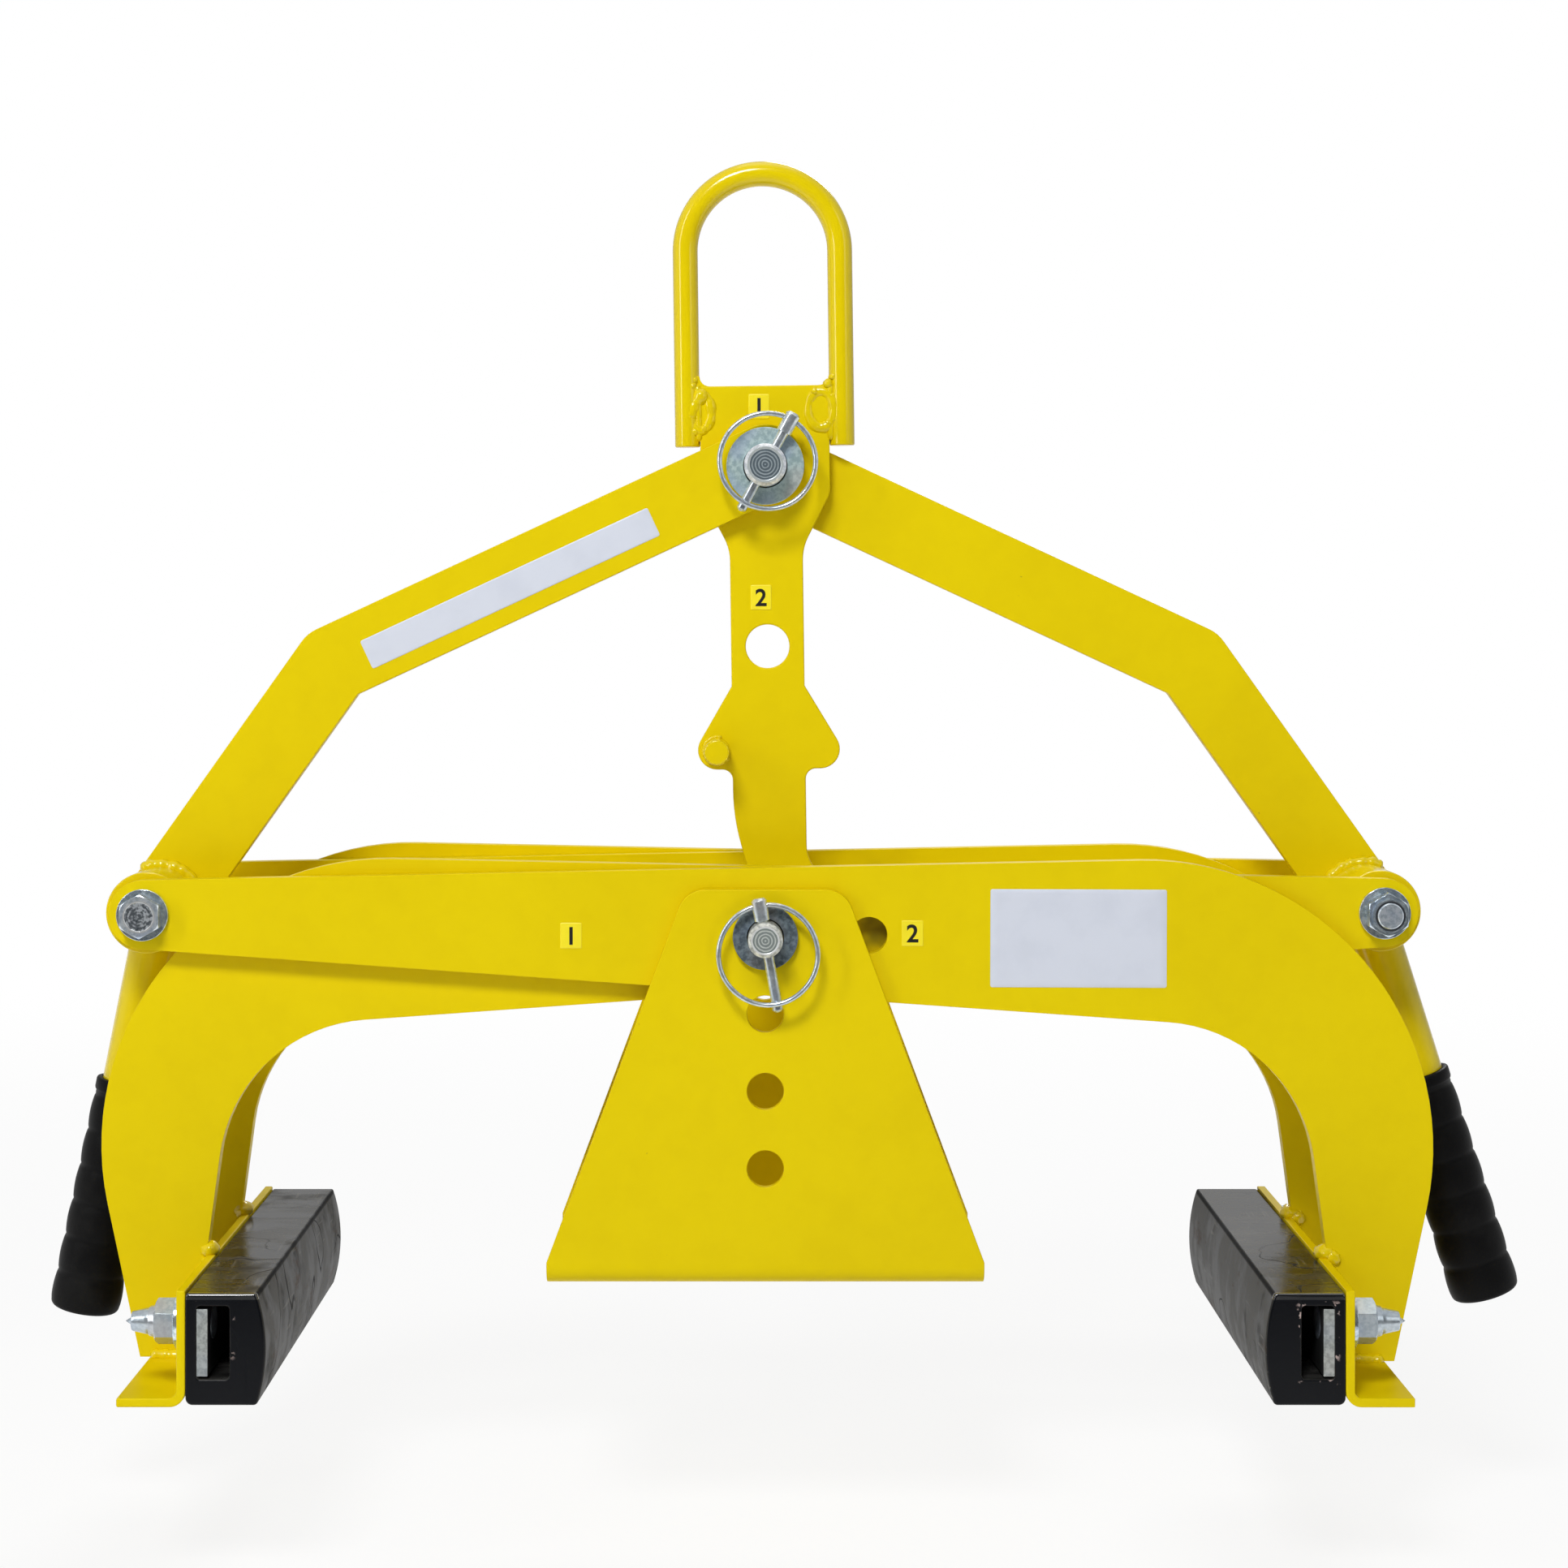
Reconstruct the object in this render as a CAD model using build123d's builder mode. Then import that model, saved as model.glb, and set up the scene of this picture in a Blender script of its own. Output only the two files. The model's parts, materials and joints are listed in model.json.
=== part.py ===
from build123d import *
import os
from math import asin, atan2, cos, degrees, radians, sin, tan

# Block laying tongs. X runs across the jaws, Y from front to back and Z up, with Z = 0 on the ground. All
# sizes are in millimetres and degrees. The tongs stand open. Each piece is drawn about the centre pin's line,
# and each left piece is the right piece turned half a turn about Z, apart from the handles, which lean by
# different angles. As it is written, each piece moves sideways, so that the origin ends up below the middle
# of the overall width.

# Where the pins stand, in the plane of the tongs
centre_pin_height = 201.0
top_pin_rise = 219.0
pivot_reach = 288.0
pivot_rise = 9.5

# Flat stock and the play between neighbouring layers
bar_width = 35.0
plate_thickness = 8.0
layer_gap = 0.4
weld_gap = 0.1

# Hanger: a plate with a wide head for the bail, a strap, two ears and a latch hook
hanger_tilt = 0.75
head_width = 62.0
head_top = 39.0
head_shoulder = 13.0
head_curve = 10.0
neck_drop = 39.0
neck_curve = 24.0
second_hole_drop = 86.0
flare_drop = 105.0
ear_span = 68.0
ear_radius = 9.3
ear_drop = 135.5
ear_root_curve = 5.0
heel_drop = 168.0
heel_curve = 100.0
strap_heel = 7.0
hook_flare_drop = 190.0
hook_flare_curve = 20.0
bail_bar_diameter = 12.0
bail_top = 147.0
bail_leg_bottom = 10.0
peg_diameter = 12.0
peg_length = 24.0
peg_chamfer = 0.6

# Latch hook, whose throat takes the centre sleeve when the hanger swings
latch_swing = 4.5
latch_clearance = 0.8
hook_web = 8.0
toe_depth = 11.0
toe_release = 0.6
toe_curve = 3.0

# Links, bushes, handles and grips
link_width = 36.5
link_start_rise = 1.75
link_bend_reach = 206.2
link_bend_drop = 94.2
link_end_play = 3.6
bush_diameter = 38.0
right_handle_lean = 17.5
left_handle_lean = 11.2
handle_length = 194.0
tube_diameter = 25.0
tube_wall = 2.5
grip_length = 111.0
grip_cap = 3.0
grip_end_curve = 2.7
grip_wall = 1.9
grip_swell = 0.8
grip_plain_length = 2.2
grip_swell_count = 6
grip_end_growth = 1.4
grip_rim_height = 6.0
grip_rim_step = 0.8
grip_clearance = 0.1

# Arm plates
arm_end_radius = 16.0
arm_top_slope = 1.14
arm_bottom_slope = 4.06
shoulder_radius = 133.0
throat_radius = 73.0
throat_lean = 7.6
jaw_taper = 12.0
toe_width = 31.0
setting_hole_reach = 48.0

# Jaw angle, rubber pad and the clamp bar in the pad's slot
jaw_setback = 32.0
jaw_length = 240.0
angle_thickness = 4.0
angle_bend = 3.0
angle_bend_play = 1.0
angle_height = 51.5
lip_width = 30.5
pad_lift = 0.8
pad_height = 49.5
pad_width = 35.5
pad_bulge = 4.0
pad_chamfer = 2.0
slot_wall = 5.0
slot_width = 14.5
slot_height = 32.0
slot_centre = 28.5
clamp_bar_thickness = 5.0
clamp_bar_play = 1.0
pad_bolt_inset = 16.0
pad_bolt_height = 34.5
pad_bolt_head_diameter = 16.0
pad_bolt_head_height = 2.0
pad_bolt_tail = 8.0
pad_bolt_tip = 3.0
pad_bolt_end_diameter = 8.5
pad_bolt_tip_diameter = 4.0
pad_nut_collar_diameter = 14.7
pad_nut_collar_end_diameter = 13.0

# Centre sleeve and depth stop
sleeve_length = 75.0
sleeve_diameter = 24.0
stop_thickness = 5.0
stop_bend = 3.0
stop_top_rise = 21.6
stop_top_width = 73.6
stop_top_curve = 13.0
stop_bottom_width = 202.0
stop_bottom_height = 40.5
stop_edge_height = 10.0
stop_hole_pitch = 35.7
stop_hole_count = 4

# Pins, linch pins and their rings
top_pin_diameter = 20.0
top_washer_diameter = 37.0
centre_pin_diameter = 16.0
centre_washer_diameter = 30.0
pin_washer_thickness = 3.0
pin_head_height = 8.0
pin_tail = 8.0
pin_chamfer = 1.5
pin_hole_clearance = 0.5
linch_diameter = 5.0
linch_length = 53.0
linch_head_diameter = 7.4
linch_head_length = 10.4
linch_chamfer = 1.2
linch_hole_clearance = 0.2
linch_seat_gap = 0.3
top_linch_lean = 29.0
top_linch_lift = 8.0
centre_linch_lean = -10.0
centre_linch_lift = 0.3
ring_wire = 2.4
ring_radius = 22.8
ring_hole_height = 7.0
ring_hole_clearance = 0.5
ring_tip_gap = 0.4

# Twelve millimetre bolts, lock nuts and washers
bolt_diameter = 12.0
bolt_clearance = 0.1
across_flats = 18.0
bolt_head_height = 7.5
nut_height = 9.0
nut_collar_height = 3.0
nut_collar_diameter = 15.5
washer_diameter = 24.0
washer_thickness = 2.5
hex_bevel_taper = -60.0
countersink_taper = 45.0
bolt_thread_show = 1.0

# Places that follow from the sizes above
pivot_height = centre_pin_height + pivot_rise
top_pin_height = centre_pin_height + top_pin_rise
inner_near = sleeve_length / 2 + layer_gap
inner_far = inner_near + plate_thickness
outer_near = inner_far + layer_gap
outer_far = outer_near + plate_thickness
stop_near = outer_far + layer_gap
stop_far = stop_near + stop_thickness
link_near = plate_thickness / 2 + layer_gap
link_far = link_near + plate_thickness
bush_front = -(inner_near - layer_gap)
bush_back = outer_near - layer_gap
bush_middle = (bush_front + bush_back) / 2
jaw_face = pivot_reach - jaw_setback
angle_outer_face = jaw_face + angle_thickness
bolt_hole_radius = bolt_diameter / 2 + bolt_clearance
centre_hole_radius = centre_pin_diameter / 2 + pin_hole_clearance
top_hole_radius = top_pin_diameter / 2 + pin_hole_clearance
pad_bolt_spread = jaw_length / 2 - pad_bolt_inset
pad_bolt_places = [(-pad_bolt_spread, pad_bolt_height), (pad_bolt_spread, pad_bolt_height)]
grip_bore = tube_diameter / 2 + grip_clearance
grip_radius = grip_bore + grip_wall
grip_end_radius = grip_radius + grip_end_growth
grip_start = handle_length + grip_cap - grip_length
grip_end = handle_length + grip_cap


def handle_reach(lean_angle):
    """How far a leaning grip's rounded end stands out sideways from the pivot."""
    lean = radians(lean_angle)
    along = (grip_end - grip_end_curve) * sin(lean)
    across = (grip_end_radius - grip_end_curve) * cos(lean)
    return along + across + grip_end_curve


frame_shift = (handle_reach(right_handle_lean) - handle_reach(left_handle_lean)) / 2


def depth_plane(y):
    """Plane across the tongs at depth y that faces the front, with X to the right and Z up."""
    return Plane.XZ.offset(-y)


def write(piece, node):
    """Move one finished piece to the part's origin, name it and write its file."""
    with BuildPart() as placed:
        with Locations((-frame_shift, 0, 0)):
            add(piece)
    placed.part.label = node
    export_step(placed.part, f"parts/{node}.step")


def write_left(piece, node):
    """Turn a piece drawn on the right half a turn about Z and write it as the left one."""
    with BuildPart() as mate:
        add(piece, rotation=(0, 0, 180))
    write(mate.part, f"left_{node}")


def write_pair(piece, node):
    """Write a right piece, and the same piece half a turn about Z as its left mate."""
    write(piece, f"right_{node}")
    write_left(piece, node)


def hexagon_prism(plane, height):
    """Hexagon of the standard width on a plane, with its far corners bevelled."""
    flat_radius = across_flats / 2
    with BuildPart() as prism:
        with BuildSketch(plane):
            RegularPolygon(flat_radius, 6, major_radius=False, rotation=30)
        extrude(amount=height)
        with BuildSketch(plane.offset(height)):
            Circle(flat_radius)
        extrude(amount=-height, taper=hex_bevel_taper, mode=Mode.INTERSECT)
    return prism.part


def washer(plane, outside, hole_radius, thickness):
    """Flat washer that stands on a plane."""
    with BuildPart() as ring:
        with BuildSketch(plane):
            Circle(outside / 2)
            Circle(hole_radius, mode=Mode.SUBTRACT)
        extrude(amount=thickness)
    return ring.part


os.makedirs("parts", exist_ok=True)

# Arm plates: outline of the right arm, which runs from the left pivot to the right jaw
far_pivot = Vector(-pivot_reach, pivot_height)
top_angle = radians(arm_top_slope)
bottom_angle = radians(arm_bottom_slope)
end_top = far_pivot + Vector(-sin(top_angle), cos(top_angle)) * arm_end_radius
end_bottom = far_pivot - Vector(sin(bottom_angle), cos(bottom_angle)) * arm_end_radius
toe_outer_x = angle_outer_face + toe_width
taper_gain = tan(radians(jaw_taper))
shoulder_x = (toe_outer_x + taper_gain * (end_top.Y - end_top.X * tan(top_angle) - angle_thickness)) / (
    1 - taper_gain * tan(top_angle)
)
shoulder_corner = Vector(shoulder_x, end_top.Y + (shoulder_x - end_top.X) * tan(top_angle))
throat_start = Vector(angle_outer_face, angle_height + weld_gap)
throat_gain = tan(radians(throat_lean))
throat_z = (
    end_bottom.Y - (throat_start.X + throat_gain * throat_start.Y - end_bottom.X) * tan(bottom_angle)
) / (1 - throat_gain * tan(bottom_angle))
throat_corner = Vector(throat_start.X - throat_gain * (throat_z - throat_start.Y), throat_z)
bend_relief = angle_bend + angle_bend_play
with BuildSketch() as arm_outline:
    with BuildLine():
        Polyline(
            end_top,
            shoulder_corner,
            (toe_outer_x, angle_thickness),
            (angle_outer_face + bend_relief, angle_thickness),
            (angle_outer_face, angle_thickness + bend_relief),
            throat_start,
            throat_corner,
            end_bottom,
            close=True,
        )
    make_face()
    fillet(arm_outline.vertices().sort_by_distance(shoulder_corner)[0], shoulder_radius)
    fillet(arm_outline.vertices().sort_by_distance(throat_corner)[0], throat_radius)
    with Locations(far_pivot):
        Circle(arm_end_radius)
        Circle(bolt_hole_radius, mode=Mode.SUBTRACT)
    with Locations((0, centre_pin_height), (setting_hole_reach, centre_pin_height)):
        Circle(centre_hole_radius, mode=Mode.SUBTRACT)

with BuildPart() as arm_outer_plate:
    with BuildSketch(depth_plane(-outer_near)):
        add(arm_outline.sketch)
    extrude(amount=plate_thickness)
write_pair(arm_outer_plate.part, "arm_outer_plate")

with BuildPart() as arm_inner_plate:
    with BuildSketch(depth_plane(inner_far)):
        add(arm_outline.sketch)
    extrude(amount=plate_thickness)
write_pair(arm_inner_plate.part, "arm_inner_plate")

# Jaw angle: a folded plate whose lip stands on the ground
with BuildPart() as jaw_angle:
    with BuildSketch(depth_plane(jaw_length / 2)) as angle_section:
        with BuildLine():
            Polyline(
                (jaw_face, 0),
                (jaw_face + lip_width, 0),
                (jaw_face + lip_width, angle_thickness),
                (angle_outer_face, angle_thickness),
                (angle_outer_face, angle_height),
                (jaw_face, angle_height),
                close=True,
            )
        make_face()
        inner_bend = angle_section.vertices().sort_by_distance((angle_outer_face, angle_thickness))[0]
        fillet(inner_bend, angle_bend)
        outer_bend = angle_section.vertices().sort_by_distance((jaw_face, 0))[0]
        fillet(outer_bend, angle_bend + angle_thickness)
    extrude(amount=jaw_length)
    with BuildSketch(Plane.YZ.offset(jaw_face)):
        with Locations(*pad_bolt_places):
            Circle(bolt_hole_radius)
    extrude(amount=angle_thickness, mode=Mode.SUBTRACT)
write_pair(jaw_angle.part, "jaw_angle")

# Rubber pad: a block with a crowned gripping face and a slot along its length
pad_top = pad_lift + pad_height
pad_edge_x = jaw_face - pad_width + pad_bulge
slot_outer_x = jaw_face - slot_wall
slot_inner_x = slot_outer_x - slot_width
with BuildPart() as pad:
    with BuildSketch(depth_plane(jaw_length / 2)) as pad_section:
        with BuildLine():
            Polyline(
                (pad_edge_x, pad_top),
                (jaw_face, pad_top),
                (jaw_face, pad_lift + pad_chamfer),
                (jaw_face - pad_chamfer, pad_lift),
                (pad_edge_x, pad_lift),
            )
            ThreePointArc(
                (pad_edge_x, pad_lift),
                (jaw_face - pad_width, pad_lift + pad_height / 2),
                (pad_edge_x, pad_top),
            )
        make_face()
        with Locations(((slot_outer_x + slot_inner_x) / 2, slot_centre)):
            RectangleRounded(slot_width, slot_height, clamp_bar_play, mode=Mode.SUBTRACT)
    extrude(amount=jaw_length)
    with BuildSketch(Plane.YZ.offset(slot_outer_x)):
        with Locations(*pad_bolt_places):
            Circle(bolt_hole_radius)
    extrude(amount=slot_wall, mode=Mode.SUBTRACT)
write_pair(pad.part, "jaw_pad")

# Clamp bar: a flat steel bar, countersunk for the bolts that pull it against the slot's wall
clamp_bar_height = slot_height - 2 * clamp_bar_play - 2 * weld_gap
pad_head_x = slot_outer_x - clamp_bar_thickness
with BuildPart() as clamp_bar:
    with BuildSketch(Plane.YZ.offset(slot_outer_x)):
        with Locations((0, slot_centre)):
            Rectangle(jaw_length, clamp_bar_height)
        with Locations(*pad_bolt_places):
            Circle(bolt_hole_radius, mode=Mode.SUBTRACT)
    extrude(amount=-clamp_bar_thickness)
    with BuildSketch(Plane.YZ.offset(pad_head_x)):
        with Locations(*pad_bolt_places):
            Circle(pad_bolt_head_diameter / 2 + bolt_clearance)
    extrude(amount=pad_bolt_head_height, taper=countersink_taper, mode=Mode.SUBTRACT)
write_pair(clamp_bar.part, "pad_clamp_bar")

# Pad bolts, whose heads lie flush in the clamp bar and whose tapered ends stand out beyond the nuts
pad_washer_x = angle_outer_face
pad_nut_x = pad_washer_x + washer_thickness
pad_shank_end = pad_nut_x + nut_height + nut_collar_height - pad_head_x
with BuildPart() as pad_bolts:
    for bolt_y, bolt_z in pad_bolt_places:
        head_face = Vector(pad_head_x, bolt_y, bolt_z)
        with BuildSketch(Plane(origin=head_face, x_dir=(1, 0, 0), z_dir=(0, -1, 0))):
            with BuildLine():
                Polyline(
                    (0, 0),
                    (0, pad_bolt_head_diameter / 2),
                    (pad_bolt_head_height, bolt_diameter / 2),
                    (pad_shank_end, bolt_diameter / 2),
                    (pad_shank_end + pad_bolt_tail, pad_bolt_end_diameter / 2),
                    (pad_shank_end + pad_bolt_tail, pad_bolt_tip_diameter / 2),
                    (pad_shank_end + pad_bolt_tail + pad_bolt_tip, 0),
                    close=True,
                )
            make_face()
        revolve(axis=Axis(head_face, (1, 0, 0)))
write_pair(pad_bolts.part, "pad_bolts")

with BuildPart() as pad_washers:
    for bolt_y, bolt_z in pad_bolt_places:
        seat = Plane(origin=(pad_washer_x, bolt_y, bolt_z), x_dir=(0, 1, 0), z_dir=(1, 0, 0))
        add(washer(seat, washer_diameter, bolt_hole_radius, washer_thickness))
write_pair(pad_washers.part, "pad_washers")

collar_narrowing = (pad_nut_collar_diameter - pad_nut_collar_end_diameter) / 2
collar_taper = degrees(atan2(collar_narrowing, nut_collar_height))
with BuildPart() as pad_nuts:
    for bolt_y, bolt_z in pad_bolt_places:
        seat = Plane(origin=(pad_nut_x, bolt_y, bolt_z), x_dir=(0, 1, 0), z_dir=(1, 0, 0))
        add(hexagon_prism(seat, nut_height))
        with BuildSketch(seat.offset(nut_height)):
            Circle(pad_nut_collar_diameter / 2)
        extrude(amount=nut_collar_height, taper=collar_taper)
        with BuildSketch(seat):
            Circle(bolt_hole_radius)
        extrude(amount=nut_height + nut_collar_height, mode=Mode.SUBTRACT)
write_pair(pad_nuts.part, "pad_nuts")

# Pivot bolts, headed at the back on the right, with a washer under each end
bolt_head_y = outer_far + washer_thickness
nut_seat_y = -(inner_far + washer_thickness)
nut_end_y = nut_seat_y - nut_height - nut_collar_height
right_pivot = (pivot_reach, 0, pivot_height)
rear_facing = Plane(origin=right_pivot, x_dir=(1, 0, 0), z_dir=(0, 1, 0))
front_facing = Plane(origin=right_pivot, x_dir=(1, 0, 0), z_dir=(0, -1, 0))
with BuildPart() as pivot_bolt:
    add(hexagon_prism(rear_facing.offset(bolt_head_y), bolt_head_height))
    with BuildSketch(rear_facing.offset(bolt_head_y)):
        Circle(bolt_diameter / 2)
    extrude(amount=nut_end_y - bolt_head_y - bolt_thread_show)
    chamfer(pivot_bolt.faces().sort_by(Axis.Y)[0].edges(), bolt_thread_show / 2)
write_pair(pivot_bolt.part, "pivot_bolt")

with BuildPart() as pivot_washers:
    add(washer(rear_facing.offset(outer_far), washer_diameter, bolt_hole_radius, washer_thickness))
    add(washer(front_facing.offset(inner_far), washer_diameter, bolt_hole_radius, washer_thickness))
write_pair(pivot_washers.part, "pivot_washers")

with BuildPart() as pivot_nut:
    add(hexagon_prism(front_facing.offset(-nut_seat_y), nut_height))
    with BuildSketch(front_facing.offset(nut_height - nut_seat_y)):
        Circle(nut_collar_diameter / 2)
    extrude(amount=nut_collar_height)
    with BuildSketch(front_facing.offset(-nut_seat_y)):
        Circle(bolt_hole_radius)
    extrude(amount=nut_height + nut_collar_height, mode=Mode.SUBTRACT)
write_pair(pivot_nut.part, "pivot_nut")

# Bush: a thick tube that turns on the pivot bolt between the plates of the other arm
with BuildPart() as bush:
    with BuildSketch(depth_plane(bush_back)):
        with Locations((pivot_reach, pivot_height)):
            Circle(bush_diameter / 2)
            Circle(bolt_hole_radius, mode=Mode.SUBTRACT)
    extrude(amount=bush_back - bush_front)
write_pair(bush.part, "bush")

# Link: a flat bar with one bend, welded to the bush and loose on the top pin
link_start = Vector(0, top_pin_height + link_start_rise)
bend_point = Vector(link_bend_reach, top_pin_height - link_bend_drop)
link_points = [link_start, bend_point, Vector(pivot_reach, pivot_height)]
with BuildPart() as link:
    with BuildSketch(depth_plane(link_far)):
        for run_start, run_end in zip(link_points, link_points[1:]):
            run = run_end - run_start
            with Locations((run_start + run_end) / 2):
                SlotCenterToCenter(run.length, link_width, rotation=-run.get_angle(Vector(1, 0)))
        with Locations((0, top_pin_height)):
            Circle(top_pin_diameter / 2 + link_end_play, mode=Mode.SUBTRACT)
        with Locations((pivot_reach, pivot_height)):
            Circle(bush_diameter / 2 + weld_gap, mode=Mode.SUBTRACT)
    extrude(amount=plate_thickness)
write_pair(link.part, "link")

# Handle tubes, coped to the bushes, and the grips pushed over their ends
handle_origin = Vector(pivot_reach, bush_middle, pivot_height)
swell_start = grip_start + grip_rim_height + grip_plain_length
grip_swell_pitch = (grip_end - swell_start) / grip_swell_count


def handle_directions(lean_angle):
    """Directions along and across a handle that leans away from the tongs."""
    lean = radians(lean_angle)
    return Vector(sin(lean), 0, -cos(lean)), Vector(cos(lean), 0, sin(lean))


def handle_tube(lean_angle):
    """Tube of the right handle at a given lean."""
    along, across = handle_directions(lean_angle)
    with BuildPart() as tube:
        with BuildSketch(Plane(origin=handle_origin, x_dir=across, z_dir=along)):
            Circle(tube_diameter / 2)
            Circle(tube_diameter / 2 - tube_wall, mode=Mode.SUBTRACT)
        extrude(amount=handle_length)
        with BuildSketch(depth_plane(bush_back)):
            with Locations((pivot_reach, pivot_height)):
                Circle(bush_diameter / 2 + weld_gap)
        extrude(amount=bush_back - bush_front, mode=Mode.SUBTRACT)
    return tube.part


def handle_grip(lean_angle):
    """Grip of the right handle at a given lean: a cap with a rim and a row of swells."""
    along, across = handle_directions(lean_angle)
    with BuildPart() as grip:
        with BuildSketch(Plane(origin=handle_origin, x_dir=across, z_dir=(0, 1, 0))):
            with BuildLine():
                Polyline(
                    (0, grip_end),
                    (0, grip_end - grip_cap + grip_clearance),
                    (grip_bore, grip_end - grip_cap + grip_clearance),
                    (grip_bore, grip_start),
                    (grip_radius + grip_rim_step, grip_start),
                    (grip_radius + grip_rim_step, grip_start + grip_rim_height),
                    (grip_radius, grip_start + grip_rim_height),
                    (grip_radius, swell_start),
                )
                for swell in range(grip_swell_count):
                    near = grip_radius + grip_end_growth * swell / grip_swell_count
                    far = grip_radius + grip_end_growth * (swell + 1) / grip_swell_count
                    ThreePointArc(
                        (near, swell_start + swell * grip_swell_pitch),
                        ((near + far) / 2 + grip_swell, swell_start + (swell + 0.5) * grip_swell_pitch),
                        (far, swell_start + (swell + 1) * grip_swell_pitch),
                    )
                Line((grip_end_radius, grip_end), (0, grip_end))
            make_face()
        revolve(axis=Axis(handle_origin, along))
        end_face = grip.faces().sort_by_distance(handle_origin + along * grip_end)[0]
        fillet(end_face.edges(), grip_end_curve)
    return grip.part


write(handle_tube(right_handle_lean), "right_handle_tube")
write(handle_grip(right_handle_lean), "right_grip")
write_left(handle_tube(left_handle_lean), "handle_tube")
write_left(handle_grip(left_handle_lean), "grip")

# Hanger plate, drawn about the top pin and tilted with it
tilt = radians(hanger_tilt)
top_pin_place = Vector(0, 0, top_pin_height)
tilt_side = Vector(cos(tilt), 0, sin(tilt))
hanger_plane = Plane(origin=top_pin_place, x_dir=tilt_side, z_dir=(0, -1, 0))
half_bar = bar_width / 2
half_head = head_width / 2
ear_reach = ear_span / 2 - ear_radius
ear_bottom = -ear_drop - ear_radius
engaged_tilt = radians(hanger_tilt - latch_swing)
sleeve_engaged = Vector(-sin(engaged_tilt), -cos(engaged_tilt)) * top_pin_rise
throat_half = sleeve_diameter / 2 + latch_clearance
throat_roof = -top_pin_rise + throat_half
throat_floor = -top_pin_rise - throat_half
throat_end_x = sleeve_engaged.X + throat_half
hook_back_x = throat_end_x + hook_web
toe_tip_x = sleeve_diameter / 2 + toe_release + throat_floor * sin(tilt)
hook_bottom = throat_floor - toe_depth
with BuildSketch() as ears:
    with Locations((-ear_reach, -ear_drop), (ear_reach, -ear_drop)):
        Circle(ear_radius)
    with Locations((0, -flare_drop)):
        Rectangle(bar_width, -flare_drop - ear_bottom, align=(Align.CENTER, Align.MAX))
    make_hull()
with BuildSketch() as throat:
    with BuildLine():
        Polyline(
            sleeve_engaged + Vector(0, throat_half),
            (-half_head, throat_roof),
            (-half_head, throat_floor),
            sleeve_engaged - Vector(0, throat_half),
        )
        ThreePointArc(
            sleeve_engaged - Vector(0, throat_half),
            sleeve_engaged + Vector(throat_half, 0),
            sleeve_engaged + Vector(0, throat_half),
        )
    make_face()
with BuildPart() as hanger_plate:
    with BuildSketch(hanger_plane.offset(-plate_thickness / 2)) as hanger_outline:
        with BuildLine():
            Polyline(
                (-half_head, head_top),
                (half_head, head_top),
                (half_head, -head_shoulder),
                (half_bar, -neck_drop),
                (half_bar, -hook_flare_drop),
                (hook_back_x, throat_roof),
                (hook_back_x, hook_bottom),
                (toe_tip_x, hook_bottom),
                (toe_tip_x, throat_roof),
                (-strap_heel, throat_roof),
                (-half_bar, -heel_drop),
                (-half_bar, -neck_drop),
                (-half_head, -head_shoulder),
                close=True,
            )
        make_face()
        add(ears.sketch)
        add(throat.sketch, mode=Mode.SUBTRACT)
        for side in (-half_head, half_head):
            fillet(hanger_outline.vertices().sort_by_distance((side, -head_shoulder))[0], head_curve)
        for side in (-half_bar, half_bar):
            fillet(hanger_outline.vertices().sort_by_distance((side, -neck_drop))[0], neck_curve)
            fillet(hanger_outline.vertices().sort_by_distance((side, ear_bottom))[0], ear_root_curve)
        fillet(hanger_outline.vertices().sort_by_distance((-half_bar, -heel_drop))[0], heel_curve)
        fillet(hanger_outline.vertices().sort_by_distance((half_bar, -hook_flare_drop))[0], hook_flare_curve)
        for toe_corner in ((toe_tip_x, throat_floor), (toe_tip_x, hook_bottom), (hook_back_x, hook_bottom)):
            fillet(hanger_outline.vertices().sort_by_distance(toe_corner)[0], toe_curve)
        with Locations((0, 0), (0, -second_hole_drop)):
            Circle(top_hole_radius, mode=Mode.SUBTRACT)
    extrude(amount=plate_thickness)
write(hanger_plate.part, "hanger_plate")

# Bail: a round bar bent over and welded to the two sides of the hanger's head
bail_reach = half_head + weld_gap + bail_bar_diameter / 2
bail_spring = bail_top - bail_bar_diameter / 2 - bail_reach
with BuildPart() as bail:
    with BuildLine(hanger_plane) as bail_path:
        Line((-bail_reach, bail_leg_bottom), (-bail_reach, bail_spring))
        ThreePointArc(
            (-bail_reach, bail_spring),
            (0, bail_spring + bail_reach),
            (bail_reach, bail_spring),
        )
        Line((bail_reach, bail_spring), (bail_reach, bail_leg_bottom))
    with BuildSketch(Plane(origin=bail_path.line @ 0, z_dir=bail_path.line % 0)):
        Circle(bail_bar_diameter / 2)
    sweep()
write(bail.part, "bail")

# Thumb peg on the front of the left ear
with BuildPart() as hanger_peg:
    with BuildSketch(hanger_plane.offset(plate_thickness / 2)):
        with Locations((-ear_reach, -ear_drop)):
            Circle(peg_diameter / 2)
    extrude(amount=peg_length)
    chamfer(hanger_peg.faces().sort_by(Axis.Y)[0].edges(), peg_chamfer)
write(hanger_peg.part, "hanger_peg")


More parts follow.
